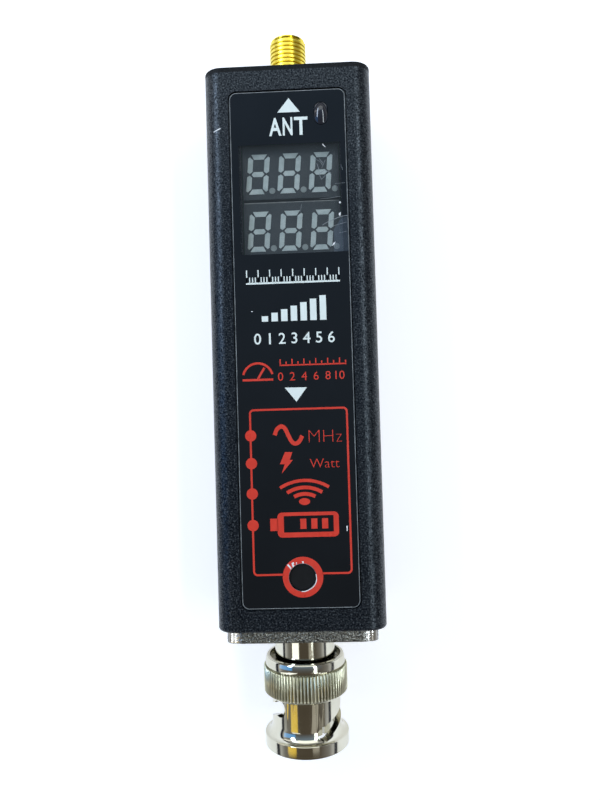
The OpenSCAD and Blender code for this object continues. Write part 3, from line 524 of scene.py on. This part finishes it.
def turned(outline, rear_y, steps=96):
    """A closed outline of (radius, distance from rear_y towards the plug's mouth), turned round the axis."""
    solid = bmesh.new()
    rings = []
    for radius, u in outline:
        y = (rear_y - u) * MM
        if radius < 1e-6:
            rings.append([solid.verts.new((0, y, AXIS_Z * MM))])
            continue
        ring = []
        for i in range(steps):
            a = 2 * math.pi * i / steps
            ring.append(solid.verts.new((radius * math.cos(a) * MM, y, (AXIS_Z + radius * math.sin(a)) * MM)))
        rings.append(ring)
    for here, there in zip(rings, rings[1:] + rings[:1]):
        for i in range(steps):
            corners = [here[i % len(here)], here[(i + 1) % steps % len(here)],
                       there[(i + 1) % steps % len(there)], there[i % len(there)]]
            unique = list(dict.fromkeys(corners))
            if len(unique) > 2:
                solid.faces.new(unique)
    return solid


def jack_body():
    """The jack's core with its bore and chamfered tip, and a wrench flange inside the cap."""
    root, mouth, bore, tail = 2.78, 2.3, 2.05, 2.7
    core = turned([(mouth, 0), (2.88, 0), (3.0, 0.12), (3.0, 0.26), (root, 0.46), (root, 13.5), (tail, 13.5),
                   (tail, 14.7), (bore, 14.7), (bore, 1.9), (mouth, 1.9)], JACK_TIP_Y)
    flange_top, flange_low, half_flats = 50.05, 48.05, 4.0
    corner = half_flats / math.cos(math.pi / 6)
    low = [core.verts.new((corner * math.sin(k * math.pi / 3) * MM, flange_low * MM,
                           (AXIS_Z + corner * math.cos(k * math.pi / 3)) * MM)) for k in range(6)]
    top = [core.verts.new((v.co.x, flange_top * MM, v.co.z)) for v in low]
    core.faces.new(low)
    core.faces.new(top[::-1])
    for k in range(6):
        core.faces.new((low[k], top[k], top[(k + 1) % 6], low[(k + 1) % 6]))
    piece = place_piece("sma_core", rounded(to_mesh("sma_core", core)), plated_gold, "sma_body")
    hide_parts("sma_body")
    pitch, turns, ridge = 0.7056, 15, 0.4
    thread = run_tree(thread_tree(), bpy.data.meshes.new("thread_seed"), {
        "Turns": float(turns), "Radius": 2.83 * MM, "Length": turns * pitch * MM, "Ridge": ridge * MM,
        "Start": (0, (JACK_TIP_Y - 0.45 - turns * pitch) * MM, AXIS_Z * MM), "Material": thread_gold})
    place_piece("sma_thread", rounded(thread, 50), thread_gold, "sma_body")


jack_body()


# BNC coupling


def plug_body():
    """The plug's body: shank, smooth neck, and the flange that the coupling turns behind."""
    shank, neck, flange, bore, seat = 4.5, 5.2, 5.95, 2.42, 3.77
    outline = [(bore, -9.8), (shank - 0.2, -9.8), (shank, -9.6), (shank, -4.4), (neck, -4.4), (neck, 3.6),
               (flange, 3.6), (flange, 5.18), (seat, 5.18), (seat, 4.0), (bore, 4.0)]
    body = turned(outline, COUPLING_REAR_Y, 144)
    piece = place_piece("plug_body", rounded(to_mesh("plug_body", body)), polished_nickel, "bnc_body")
    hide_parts("bnc_body")


plug_body()


def arc(radius_from, radius_to, u_from, u_to, bulge, steps=10):
    """A quarter of an ellipse between two points of an outline, bulging outwards or inwards."""
    points = []
    for i in range(steps + 1):
        a = math.pi / 2 * i / steps
        if bulge == "out_first":
            f, g = math.sin(a), 1 - math.cos(a)
        else:
            f, g = 1 - math.cos(a), math.sin(a)
        points.append((radius_from + (radius_to - radius_from) * f, u_from + (u_to - u_from) * g))
    return points


def sleeve_outline():
    """The coupling's section: shoulder, fine groove, knurl band, barrel, flare, bore and snap ring groove."""
    band, groove, barrel, flare, bore, seat, ring_groove = 6.9, 0.18, 5.95, 7.25, 4.95, 6.15, 6.45
    return ([(seat, 0.0), (6.55, 0.0), (6.6, 0.05)] + arc(6.62, band, 0.08, 1.45, "out_first")
            + [(band - groove, 1.5), (band - groove, 1.72), (band, 1.76), (band, 6.07)]
            + arc(band, barrel, 6.07, 6.67, "in_first")
            + arc(barrel, flare - 0.05, 11.3, 13.1, "in_first", 14)
            + [(flare, 13.16), (flare, 15.0), (flare - 0.05, 15.1), (bore + 0.5, 15.1), (bore, 14.7),
               (bore, 5.2), (seat, 5.2), (seat, 2.25), (ring_groove, 2.25), (ring_groove, 1.55),
               (seat, 1.55)])


def slot_cutter(turn):
    """The helical slot with its round detent hole and entry, as cutters through the sleeve's wall."""
    start, end = math.radians(60 + turn), math.radians(-41 + turn)
    u_start, u_end, half, entry_r, detent_r = 11.8, 8.1, 1.1, 1.12, 1.45
    inner, outer, steps = 3.0, 9.0, 40
    band = bmesh.new()
    rows = []
    for i in range(steps + 1):
        a = start + (end - start) * i / steps
        u = u_start + (u_end - u_start) * i / steps
        row = []
        for radius, rise in ((inner, -half), (outer, -half), (outer, half), (inner, half)):
            row.append(band.verts.new((radius * math.cos(a) * MM, (COUPLING_REAR_Y - u - rise) * MM,
                                       (AXIS_Z + radius * math.sin(a)) * MM)))
        rows.append(row)
    for here, there in zip(rows, rows[1:]):
        for k in range(4):
            band.faces.new((here[k], here[(k + 1) % 4], there[(k + 1) % 4], there[k]))
    band.faces.new(rows[0])
    band.faces.new(rows[-1])
    cutters = [to_mesh("slot_band", band)]
    for angle, u, radius in ((end, u_end, detent_r), (start, u_start, entry_r)):
        hole = bmesh.new()
        bmesh.ops.create_cone(hole, cap_ends=True, segments=40, radius1=radius * MM, radius2=radius * MM,
                              depth=6 * MM)
        turn_out = Matrix.Rotation(math.pi / 2 - angle, 4, "Y")
        hole.transform(Matrix.Translation((6 * math.cos(angle) * MM, (COUPLING_REAR_Y - u) * MM,
                                           (AXIS_Z + 6 * math.sin(angle)) * MM)) @ turn_out)
        cutters.append(to_mesh("slot_hole", hole))
    return cutters


def coupling():
    """The bayonet sleeve: turned outline, cut slots, softened edges and a ring of knurl ridges."""
    blank = turned(sleeve_outline(), COUPLING_REAR_Y, 144)
    holder = bpy.data.objects.new("sleeve_blank", to_mesh("sleeve_blank", blank))
    scene.collection.objects.link(holder)
    knives = []
    for turn in (0, 180):
        for mesh in slot_cutter(turn):
            knife = bpy.data.objects.new("slot_knife", mesh)
            scene.collection.objects.link(knife)
            cut = holder.modifiers.new("cut", "BOOLEAN")
            cut.operation = "DIFFERENCE"
            cut.solver = "EXACT"
            cut.object = knife
            knives.append(knife)
    soften = holder.modifiers.new("soften", "BEVEL")
    soften.width = 0.07 * MM
    soften.segments = 2
    soften.limit_method = "ANGLE"
    soften.angle_limit = math.radians(50)
    mesh = evaluated_mesh(holder)
    for knife in knives:
        bpy.data.objects.remove(knife)
    piece = place_piece("bayonet_sleeve", evened("sleeve_even", mesh, 35), polished_nickel, "coupling_sleeve")
    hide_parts("coupling_sleeve")

    ridge = bmesh.new()
    ridge_count, y_high, y_low, chamfer = 77, COUPLING_REAR_Y - 1.7, COUPLING_REAR_Y - 6.12, 0.14
    crest = [(-0.27, 6.8), (-0.2, 7.04), (-0.11, 7.2), (0, 7.26), (0.11, 7.2), (0.2, 7.04), (0.27, 6.8)]
    sections = []
    for y, sink in ((y_high, 0.2), (y_high - chamfer, 0), (y_low + chamfer, 0), (y_low, 0.2)):
        sections.append([ridge.verts.new((x * MM, y * MM, (z - sink) * MM)) for x, z in crest])
    for here, there in zip(sections, sections[1:]):
        for i in range(len(crest)):
            k = (i + 1) % len(crest)
            ridge.faces.new((here[i], here[k], there[k], there[i]))
    ridge.faces.new(sections[0])
    ridge.faces.new(sections[-1])
    knurl = run_tree(ring_tree(), to_mesh("ridge", ridge), {
        "Count": ridge_count, "Centre": (0, 0, AXIS_Z * MM), "Material": knurled_nickel})
    place_piece("coupling_knurl", rounded(knurl, 50), knurled_nickel, "coupling_sleeve")


coupling()


# Indicator


def lens_dome():
    """The smoked lens: a straight barrel through the film, crowned both ways like a cabochon."""
    (x0, y0, z0), (x1, y1, z1) = [[value / MM for value in corner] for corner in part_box("indicator_lens")]
    flange, flange_low, flange_top, lean, rows, count = 0.4, 18.0, 18.38, 0.35, 16, 64
    half_w, half_l = (x1 - x0) / 2 - flange, (y1 - y0) / 2 - flange
    straight = half_l - half_w
    middle = ((x0 + x1) / 2, (y0 + y1) / 2)
    solid = bmesh.new()

    def ring(z, margin=0.0):
        """The barrel's outline at one height, grown by a margin."""
        loop = []
        for i in range(count):
            a = 2 * math.pi * (i + 0.5) / count
            x, y = (half_w + margin) * math.cos(a), (half_w + margin) * math.sin(a)
            y += math.copysign(straight, y)
            loop.append(solid.verts.new(((middle[0] + x) * MM, (middle[1] + y) * MM, z * MM)))
        return loop

    def oval(scale):
        """One ring of the crown, an oval inside the barrel's outline, highest towards the jack."""
        loop = []
        for i in range(count):
            a = 2 * math.pi * (i + 0.5) / count
            x, y = half_w * scale * math.cos(a), half_l * scale * math.sin(a) + lean * (1 - scale)
            z = FILM_TOP + (z1 - FILM_TOP) * (1 - scale ** 2)
            loop.append(solid.verts.new(((middle[0] + x) * MM, (middle[1] + y) * MM, z * MM)))
        return loop

    rings = [ring(z0), ring(flange_low), ring(flange_low, flange), ring(flange_top, flange),
             ring(flange_top), ring(FILM_TOP)]
    rings += [oval(0.99 * (1 - i / rows)) for i in range(rows)]
    for here, there in zip(rings, rings[1:]):
        for i in range(count):
            solid.faces.new((here[i], here[(i + 1) % count], there[(i + 1) % count], there[i]))
    solid.faces.new(rings[0])
    solid.faces.new(rings[-1])
    piece = place_piece("lens_dome", rounded(to_mesh("lens_dome", solid), 20), smoked_lens, "indicator_lens")
    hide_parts("indicator_lens")


lens_dome()


# Print on the film


def patch(sheet, points, z=FILM_TOP):
    sheet.faces.new([sheet.verts.new((x * MM, y * MM, z * MM)) for x, y in points])


def line_along(sheet, points, width, closed=False, z=FILM_TOP):
    """A line of even width along the points, with mitred corners."""
    pts = [Vector(p) for p in points]
    count = len(pts)
    sides = []
    for i, here in enumerate(pts):
        before = pts[i - 1] if i or closed else None
        after = pts[(i + 1) % count] if i < count - 1 or closed else None
        ways = [(b - a).normalized() for a, b in ((before, here), (here, after))
                if a is not None and b is not None]
        way = sum(ways, Vector((0, 0))).normalized()
        across = Vector((-way.y, way.x))
        reach = width / 2 / max(0.3, way.dot(ways[0]))
        ends = [here + s * reach * across for s in (1, -1)]
        sides.append([sheet.verts.new((end.x * MM, end.y * MM, z * MM)) for end in ends])
    pairs = list(zip(sides, sides[1:] + sides[:1] if closed else sides[1:]))
    for (a, b), (c, d) in pairs:
        sheet.faces.new((a, b, d, c))


def flowing(points, steps=5):
    """Points of a smooth line through the given ones."""
    pts = [Vector(p) for p in points]
    ends = [2 * pts[0] - pts[1]] + pts + [2 * pts[-1] - pts[-2]]
    out = []
    for p, q, r, t in zip(ends, ends[1:], ends[2:], ends[3:]):
        for i in range(steps):
            f = i / steps
            bend, twist = 2 * p - 5 * q + 4 * r - t, 3 * q - p - 3 * r + t
            out.append((2 * q + (r - p) * f + bend * f ** 2 + twist * f ** 3) / 2)
    return out + [pts[-1]]


def circle_points(x, y, radius, start=0.0, end=360.0, steps=40):
    closed = abs(end - start) >= 360
    last = steps if closed else steps + 1
    return [(x + radius * math.cos(math.radians(start + (end - start) * i / steps)),
             y + radius * math.sin(math.radians(start + (end - start) * i / steps))) for i in range(last)]


def annulus(sheet, inner, outer, z=FILM_TOP):
    rows = [[sheet.verts.new((x * MM, y * MM, z * MM)) for x, y in loop] for loop in (inner, outer)]
    count = len(inner)
    for i in range(count):
        sheet.faces.new((rows[0][i], rows[0][(i + 1) % count], rows[1][(i + 1) % count], rows[1][i]))


def rounded_loop(x0, y0, x1, y1, radius, steps=6):
    loop = []
    for cx, cy, start in ((x1 - radius, y1 - radius, 0), (x0 + radius, y1 - radius, 90),
                          (x0 + radius, y0 + radius, 180), (x1 - radius, y0 + radius, 270)):
        loop += circle_points(cx, cy, radius, start, start + 90, steps)
    return loop


def lettering(sheet, words, box, weight=0.0, z=FILM_TOP, stretch=True):
    """Plain legends set to fill a box (x0, y0, x1, y1), or kept to their own width in its middle."""
    curve = bpy.data.curves.new("legend", "FONT")
    curve.body = words
    curve.offset = weight
    curve.resolution_u = 4
    holder = bpy.data.objects.new("legend", curve)
    scene.collection.objects.link(holder)
    mesh = evaluated_mesh(holder)
    xs = [v.co.x for v in mesh.vertices]
    ys = [v.co.y for v in mesh.vertices]
    x0, y0, x1, y1 = box
    sy = (y1 - y0) / (max(ys) - min(ys))
    sx = (x1 - x0) / (max(xs) - min(xs)) if stretch else sy
    x0 = (x0 + x1 - sx * (max(xs) - min(xs))) / 2
    for v in mesh.vertices:
        v.co = ((x0 + (v.co.x - min(xs)) * sx) * MM, (y0 + (v.co.y - min(ys)) * sy) * MM, z * MM)
    sheet.from_mesh(mesh)
    bpy.data.meshes.remove(mesh)


def thickened(sheet, proud=INK_PROUD, sunk=INK_SUNK):
    """Gives flat shapes the thickness of a layer of ink, partly sunk in what carries it."""
    bmesh.ops.remove_doubles(sheet, verts=sheet.verts[:], dist=1e-8)
    for face in sheet.faces:
        face.smooth = False
        face.normal_update()
        if face.normal.z < 0:
            face.normal_flip()
    for v in sheet.verts:
        v.co.z += proud * MM
    grown = bmesh.ops.extrude_face_region(sheet, geom=sheet.faces[:])["geom"]
    bmesh.ops.translate(sheet, verts=[g for g in grown if isinstance(g, bmesh.types.BMVert)],
                        vec=(0, 0, -(proud + sunk) * MM))
    return sheet


def inked(name, sheet, material, node="front_overlay", proud=INK_PROUD, sunk=INK_SUNK):
    place_piece(name, to_mesh(name, thickened(sheet, proud, sunk)), material, node)


def white_print():
    """Two arrows and the aerial legend, a row of rising bars over plain numbers, and a ruled scale."""
    sheet = bmesh.new()
    patch(sheet, [(0.28, 46.89), (-1.61, 44.55), (2.08, 44.53)])
    for letter, x0, x1, weight in (("A", -3.05, -1.04, 0.02), ("N", -0.8, 0.8, 0.02),
                                   ("T", 1.08, 3.3, 0.018)):
        lettering(sheet, letter, (x0, 40.7, x1, 43.7), weight)
    patch(sheet, [(-1.68, -0.63), (1.91, -0.68), (0.17, -2.97)])
    line_along(sheet, [(-7.5, 16.5), (7.8, 16.5)], 0.3)
    for i in range(7):
        x = -5.1 + i * 1.58
        patch(sheet, [(x, 10.2), (x + 1.05, 10.2), (x + 1.05, 11.1 + i * 0.52), (x, 11.1 + i * 0.52)])
    for i in range(7):
        lettering(sheet, str(i), (-6.3 + i * 2.0, 6.5, -5.45 + i * 2.0, 8.3), 0.008, stretch=False)
    inked("white_print", sheet, white_ink)
    for count, pitch, height in ((33, 0.47, 0.9), (9, 1.88, 2.1)):
        tick = bmesh.new()
        patch(tick, [(-0.09, 0), (0.09, 0), (0.09, height), (-0.09, height)], 0.0)
        row = run_tree(tick_tree(), to_mesh("tick", thickened(tick)), {
            "Count": count, "First": (-7.38 * MM, 16.6 * MM, FILM_TOP * MM), "Pitch": (pitch * MM, 0, 0),
            "Material": white_ink})
        place_piece("gauge_ticks_%d" % count, row, white_ink, "front_overlay")


def red_print():
    """A gauge and scale, the frame that leads from the button past its dots, and the marks inside it."""
    sheet = bmesh.new()
    # A small needle gauge and a plain scale
    for stroke in (circle_points(-6.0, 1.0, 2.45, 15, 165, 24), [(-8.5, 0.75), (-3.5, 0.75)],
                   [(-6.0, 0.9), (-4.9, 2.7)]):
        line_along(sheet, stroke, 0.36)
    line_along(sheet, [(-2.4, 3.0), (8.4, 3.0)], 0.22)
    for i in range(12):
        x = -2.3 + i * 0.963
        line_along(sheet, [(x, 3.05), (x, 4.0 if i % 2 == 0 else 3.6)], 0.2)
    for i, words in enumerate(("0", "2", "4", "6", "8", "10")):
        x = -2.3 + i * 1.926
        lettering(sheet, words, (x, 0.5, x, 1.85), stretch=False)
    # The frame, its four dots and the ring round the button
    border = [(-2.75, -30.75)]
    for x, y, start in ((-6.85, -30.15, 270), (-6.83, -4.77, 180), (7.63, -4.77, 90), (7.63, -30.06, 0)):
        border += circle_points(x, y, 0.62, start, start - 90, 6)
    line_along(sheet, border + [(3.55, -30.67)], 0.32)
    dots = bmesh.new()
    for y in (-8.29, -12.79, -17.69, -22.78):
        patch(dots, circle_points(-7.42, y, 0.92, steps=28))
    inked("red_dots", dots, red_ink, proud=0.016)
    annulus(sheet, circle_points(*BUTTON_AT, BUTTON_HOLE_R + 0.04, steps=64),
            circle_points(0.4, -31.21, 3.26, steps=64))
    # Wave, bolt, field and battery
    wave = [(-3.52, -8.3), (-3.14, -7.36), (-2.42, -6.9), (-1.82, -7.3), (-1.33, -8.32), (-0.77, -9.42),
            (-0.15, -9.74), (0.45, -9.38), (0.93, -8.5)]
    line_along(sheet, flowing(wave), 0.66)
    patch(sheet, [(-1.93, -11.05), (-0.72, -11.1), (-1.2, -12.34), (-0.68, -12.36), (-2.55, -14.53),
                  (-2.03, -13.03), (-2.82, -13.0)])
    lettering(sheet, "MHz", (1.98, -9.58, 7.38, -7.66), -0.028)
    lettering(sheet, "Watt", (2.04, -13.72, 6.8, -12.28), -0.015)
    for top, half_width, rise, width in ((-15.71, 3.95, 1.14, 0.52), (-16.84, 2.84, 0.82, 0.58),
                                         (-17.88, 1.72, 0.44, 0.6)):
        radius = (half_width ** 2 + rise ** 2) / (2 * rise)
        half = math.degrees(math.asin(half_width / radius))
        line_along(sheet, circle_points(1.06, top - radius, radius, 90 + half, 90 - half, 20), width)
    patch(sheet, [(1.01 + 0.91 * math.cos(a), -19.11 + 0.55 * math.sin(a))
                  for a in [2 * math.pi * i / 24 for i in range(24)]])
    annulus(sheet, rounded_loop(-2.44, -24.03, 5.59, -21.37, 0.12),
            rounded_loop(-3.47, -24.82, 6.43, -20.8, 0.75))
    patch(sheet, [(-4.64, -23.74), (-3.4, -23.74), (-3.4, -21.74), (-4.64, -21.74)])
    for x in (0.22, 1.99, 3.73):
        patch(sheet, [(x, -23.5), (x + 0.98, -23.5), (x + 0.98, -21.85), (x, -21.85)])
    inked("red_print", sheet, red_ink)


white_print()
red_print()


def film_edges():
    """The film's cut edge, all round and round the button's hole, drawn as a lighter line: partly the pale
    cut edge itself, partly a painted highlight where the edge catches the light.
    """
    sheet = bmesh.new()
    line_along(sheet, rounded_loop(-9.42, -36.14, 9.42, 48.04, 1.06, 8), 0.1, closed=True)
    annulus(sheet, circle_points(*BUTTON_AT, BUTTON_HOLE_R, steps=64),
            circle_points(*BUTTON_AT, BUTTON_HOLE_R + 0.06, steps=64))
    inked("film_cut_edge_highlight", sheet, cut_edge_highlight)


film_edges()


def window_print():
    """The black border printed round the clear window, and a pale line where the two displays meet: a painted
    highlight on the lower display's top edge.
    """
    border = bmesh.new()
    inner, outer = (-8.2, 21.25, 8.55, 39.3), (-8.5, 20.4, 8.95, 40.65)
    annulus(border, rounded_loop(*inner, 0.1, 2), rounded_loop(*outer, 0.1, 2))
    inked("window_border", border, gloss_film, "display_window", proud=0.004)
    # A pale line on the lower display's top edge: a painted highlight where its bevel catches the light.
    edge = bmesh.new()
    line_along(edge, [(-7.6, 30.2), (8.1, 30.2)], 0.16, z=18.3)
    inked("display_edge_highlight", edge, pale_edge_highlight, "led_display_lower", proud=0.006)


window_print()


def tube_scuff():
    """One bright scuff across the tube's left long edge, laid on the round."""
    edge_r, edge_x, front = 3.0, -10.8, 20.0
    sheet = bmesh.new()
    line_along(sheet, [(-12.21, 41.86), (-11.95, 41.98), (-11.5, 42.14), (-11.03, 42.3)], 0.16)
    for v in sheet.verts:
        beyond = max(0.0, edge_x - v.co.x / MM)
        v.co.z = (front - edge_r + math.sqrt(edge_r ** 2 - beyond ** 2)) * MM
    inked("tube_scuff", sheet, chipped_film, "housing", proud=0.015, sunk=0.02)


tube_scuff()


def film_wear():
    """Chips round the button's hole, scratches and flakes on the window, and a bluish patch beside it: a
    painted reflection of glare on the film.
    """
    chips = bmesh.new()
    for points in (
            [(-2.13, -29.24), (-1.91, -29.04), (-1.42, -29.7), (-1.53, -29.95), (-1.77, -29.65)],
            [(-1.4, -28.95), (-1.04, -28.76), (-0.95, -29.02), (-1.12, -29.16), (-0.92, -29.32),
             (-1.12, -29.66), (-1.28, -29.41)],
            [(-0.66, -28.82), (-0.56, -28.79), (-0.52, -29.15), (-0.63, -29.2)],
            [(0.27, -28.69), (0.57, -28.66), (0.58, -29.0), (0.4, -29.05)],
            [(7.6, -23.15), (7.82, -23.16), (7.8, -23.95), (7.66, -23.98)],
            [(7.9, 27.44), (8.26, 27.75), (8.24, 27.17), (8.06, 27.08)],
            [(6.68, 22.18), (6.9, 22.66), (7.3, 22.9), (7.08, 22.45)],
            [(5.66, 39.1), (6.12, 38.52), (6.04, 38.48), (5.6, 38.96)],
            circle_points(8.17, 29.3, 0.16, steps=10), circle_points(-6.67, 11.93, 0.1, steps=8)):
        patch(chips, points)
    inked("film_chips", chips, chipped_film, proud=0.02)
    rim = bmesh.new()
    line_along(rim, flowing([(2.5, -30.75), (2.58, -31.5), (2.42, -32.2), (1.98, -32.8), (1.4, -33.2),
                             (0.7, -33.48), (0.1, -33.5)]), 0.13)
    inked("worn_rim", rim, chipped_film, proud=0.018)
    scratch = bmesh.new()
    for points, width in (
            ([(5.24, 25.69), (6.06, 26.14), (7.03, 26.51), (7.71, 26.8), (8.4, 27.0), (9.35, 27.12)], 0.1),
            ([(6.4, 25.25), (7.27, 25.54), (8.36, 25.84), (9.18, 26.01)], 0.05),
            ([(4.6, 35.9), (4.9, 34.9), (5.0, 34.0), (5.3, 33.2)], 0.07),
            ([(4.2, 36.6), (5.1, 36.2), (5.6, 35.4)], 0.05)):
        line_along(scratch, flowing(points), width)
    for points, width in (
            ([(7.91, 24.29), (9.13, 24.51)], 0.06),
            ([(5.0, 36.7), (5.6, 35.9)], 0.06), ([(6.0, 36.4), (5.4, 35.1)], 0.05),
            ([(5.1, 34.3), (5.9, 34.7), (6.9, 34.2)], 0.1), ([(5.3, 33.2), (5.9, 33.8)], 0.06),
            ([(6.3, 33.1), (6.0, 33.9)], 0.05), ([(1.9, 29.2), (1.7, 28.0)], 0.05),
            ([(7.5, 32.4), (9.1, 32.5)], 0.05), ([(8.5, 35.6), (8.8, 34.6)], 0.05),
            ([(5.0, 30.0), (6.8, 30.1), (8.3, 30.3)], 0.05)):
        line_along(scratch, points, width)
    inked("film_scratches", scratch, scratched_film, proud=0.017)
    # A bluish patch at the window's right side: a painted reflection of glare, not a smear.
    glare_patch = bmesh.new()
    patch(glare_patch, [(8.3, 26.75), (9.35, 27.0), (9.35, 21.3), (6.95, 21.3), (7.05, 23.0), (7.0, 24.8)])
    inked("window_glare", glare_patch, glare_film, proud=0.008, sunk=0.004)


film_wear()


# Stage, light and camera


def stage():
    """A pale paper floor just under the meter."""
    floor = bpy.data.meshes.new("floor")
    side, drop = 3.0, 0.0002
    corners = [(-side, -side, -drop), (side, -side, -drop), (side, side, -drop), (-side, side, -drop)]
    floor.from_pydata(corners, [], [(0, 1, 2, 3)])
    sheet = bpy.data.objects.new("floor", floor)
    scene.collection.objects.link(sheet)
    paper = bpy.data.materials.new("white_paper")
    paper.use_nodes = True
    tree = paper.node_tree
    shader = tree.nodes["Principled BSDF"]
    shader.inputs["Base Color"].default_value = (0.72, 0.73, 0.74, 1)
    shader.inputs["Roughness"].default_value = 0.9
    shader.inputs["Specular IOR Level"].default_value = 0.0
    shader.inputs["Emission Color"].default_value = (0.97, 0.99, 1.05, 1)
    rays = add_node(tree, "ShaderNodeLightPath")
    seen = add_node(tree, "ShaderNodeMath", operation="MAXIMUM")
    clear = add_node(tree, "ShaderNodeMath", operation="MAXIMUM")
    lift = add_node(tree, "ShaderNodeMath", {1: 0.60}, operation="MULTIPLY")
    wire(rays, "Is Camera Ray", seen, 0)
    wire(rays, "Is Glossy Ray", seen, 1)
    wire(seen, 0, clear, 0)
    wire(rays, "Is Transmission Ray", clear, 1)
    wire(clear, 0, lift, 0)
    wire(lift, 0, shader, "Emission Strength")
    floor.materials.append(paper)


def studio():
    """A light tent, pale round its rim and dim overhead where the camera looks in, with soft windows. Each is
    set by its turn round the long axis, its rise towards the jack, its size, power and tint."""
    world = bpy.data.worlds.new("tent")
    scene.world = world
    world.use_nodes = True
    tree = world.node_tree
    back = tree.nodes["Background"]
    coords = add_node(tree, "ShaderNodeTexCoord")
    parts = add_node(tree, "ShaderNodeSeparateXYZ")
    wire(coords, "Generated", parts, 0)
    tone = ramp(tree, parts.outputs["Z"], [(0.0, (0.03, 0.035, 0.05)), (0.13, (0.04, 0.045, 0.06)),
                                           (0.21, (0.60, 0.62, 0.65)), (0.40, (0.25, 0.25, 0.25)),
                                           (0.75, (0.100, 0.084, 0.066))])
    along = add_node(tree, "ShaderNodeMapRange", {"From Min": -0.3, "From Max": 0.5})
    above = add_node(tree, "ShaderNodeMapRange", {"From Min": 0.6, "From Max": 0.88})
    far_top = add_node(tree, "ShaderNodeMath", operation="MULTIPLY")
    cool = add_node(tree, "ShaderNodeMix", data_type="RGBA", blend_type="MULTIPLY")
    cool.inputs[7].default_value = (2.1, 3.5, 6.2, 1.0)
    seen = add_node(tree, "ShaderNodeMix", data_type="RGBA", blend_type="MIX")
    seen.inputs[7].default_value = (0.93, 0.95, 0.98, 1.0)
    rays = add_node(tree, "ShaderNodeLightPath")
    straight = add_node(tree, "ShaderNodeMath", operation="MAXIMUM")
    wire(parts, "Y", along, "Value")
    wire(parts, "Z", above, "Value")
    wire(along, "Result", far_top, 0)
    wire(above, "Result", far_top, 1)
    wire(far_top, 0, cool, 0)
    tree.links.new(tone, cool.inputs[6])
    wire(rays, "Is Camera Ray", straight, 0)
    wire(rays, "Is Transmission Ray", straight, 1)
    wire(straight, 0, seen, 0)
    wire(cool, 2, seen, 6)
    wire(seen, 2, back, "Color")
    back.inputs["Strength"].default_value = 1.0
    reach = 0.7
    for name, side, rise, size, power, tint in (
            ("window", -44, 27, (0.13, 0.46), 2.0, (0.68, 0.82, 1.0)),
            ("cool_left", -55, 0, (0.50, 0.34), 0.5, (0.05, 0.38, 1.0)),
            ("window_low", -34, -22.0, (0.30, 0.05), 0.095, (0.92, 0.97, 1.0)),
            ("strip_right", 29, 5.5, (0.08, 0.67), 1.75, (0.84, 0.94, 1.0)),
            ("low_right", 24, -25.5, (0.19, 0.135), 0.03, (1.0, 0.99, 0.93)),
            ("warm_low", -40, -28.7, (0.25, 0.075), 0.06, (1.0, 0.70, 0.05)),
            ("window_top", -70, 33.5, (0.45, 0.08), 0.12, (1.0, 0.97, 0.92)),
            ("key_top", 0, 46, (0.7, 0.40), 1.35, (0.94, 1.0, 1.0))):
        light = bpy.data.lights.new(name, "AREA")
        light.shape = "RECTANGLE"
        light.size, light.size_y = size
        light.energy = power
        light.color = tint
        lamp = bpy.data.objects.new(name, light)
        turn, lift = math.radians(side), math.radians(rise)
        away = Vector((math.sin(turn) * math.cos(lift), math.sin(lift), math.cos(turn) * math.cos(lift)))
        across = Vector((0, 1, 0)).cross(away).normalized()
        facing = Matrix((across, away.cross(across), away)).transposed()
        lamp.matrix_world = Matrix.Translation(away * reach) @ facing.to_4x4()
        scene.collection.objects.link(lamp)


def viewpoint():
    """The photograph's view, fitted to the outlines of the film, the tube and both connectors."""
    focal_px, image_height = 678.39, 800
    camera = bpy.data.cameras.new("photo_view")
    camera.sensor_width = 36.0
    camera.lens = focal_px * camera.sensor_width / image_height
    camera.clip_start = 0.001
    camera.clip_end = 20.0
    holder = bpy.data.objects.new("photo_view", camera)
    right, up = (0.99892, -0.02899, -0.03634), (0.03001, 0.99917, 0.02762)
    back = (0.03551, -0.02868, 0.99896)
    turn = Matrix((right, up, back)).transposed()
    holder.matrix_world = Matrix.Translation((0.004644, -0.005866, 0.129678)) @ turn.to_4x4()
    scene.collection.objects.link(holder)
    scene.camera = holder


stage()
studio()
viewpoint()
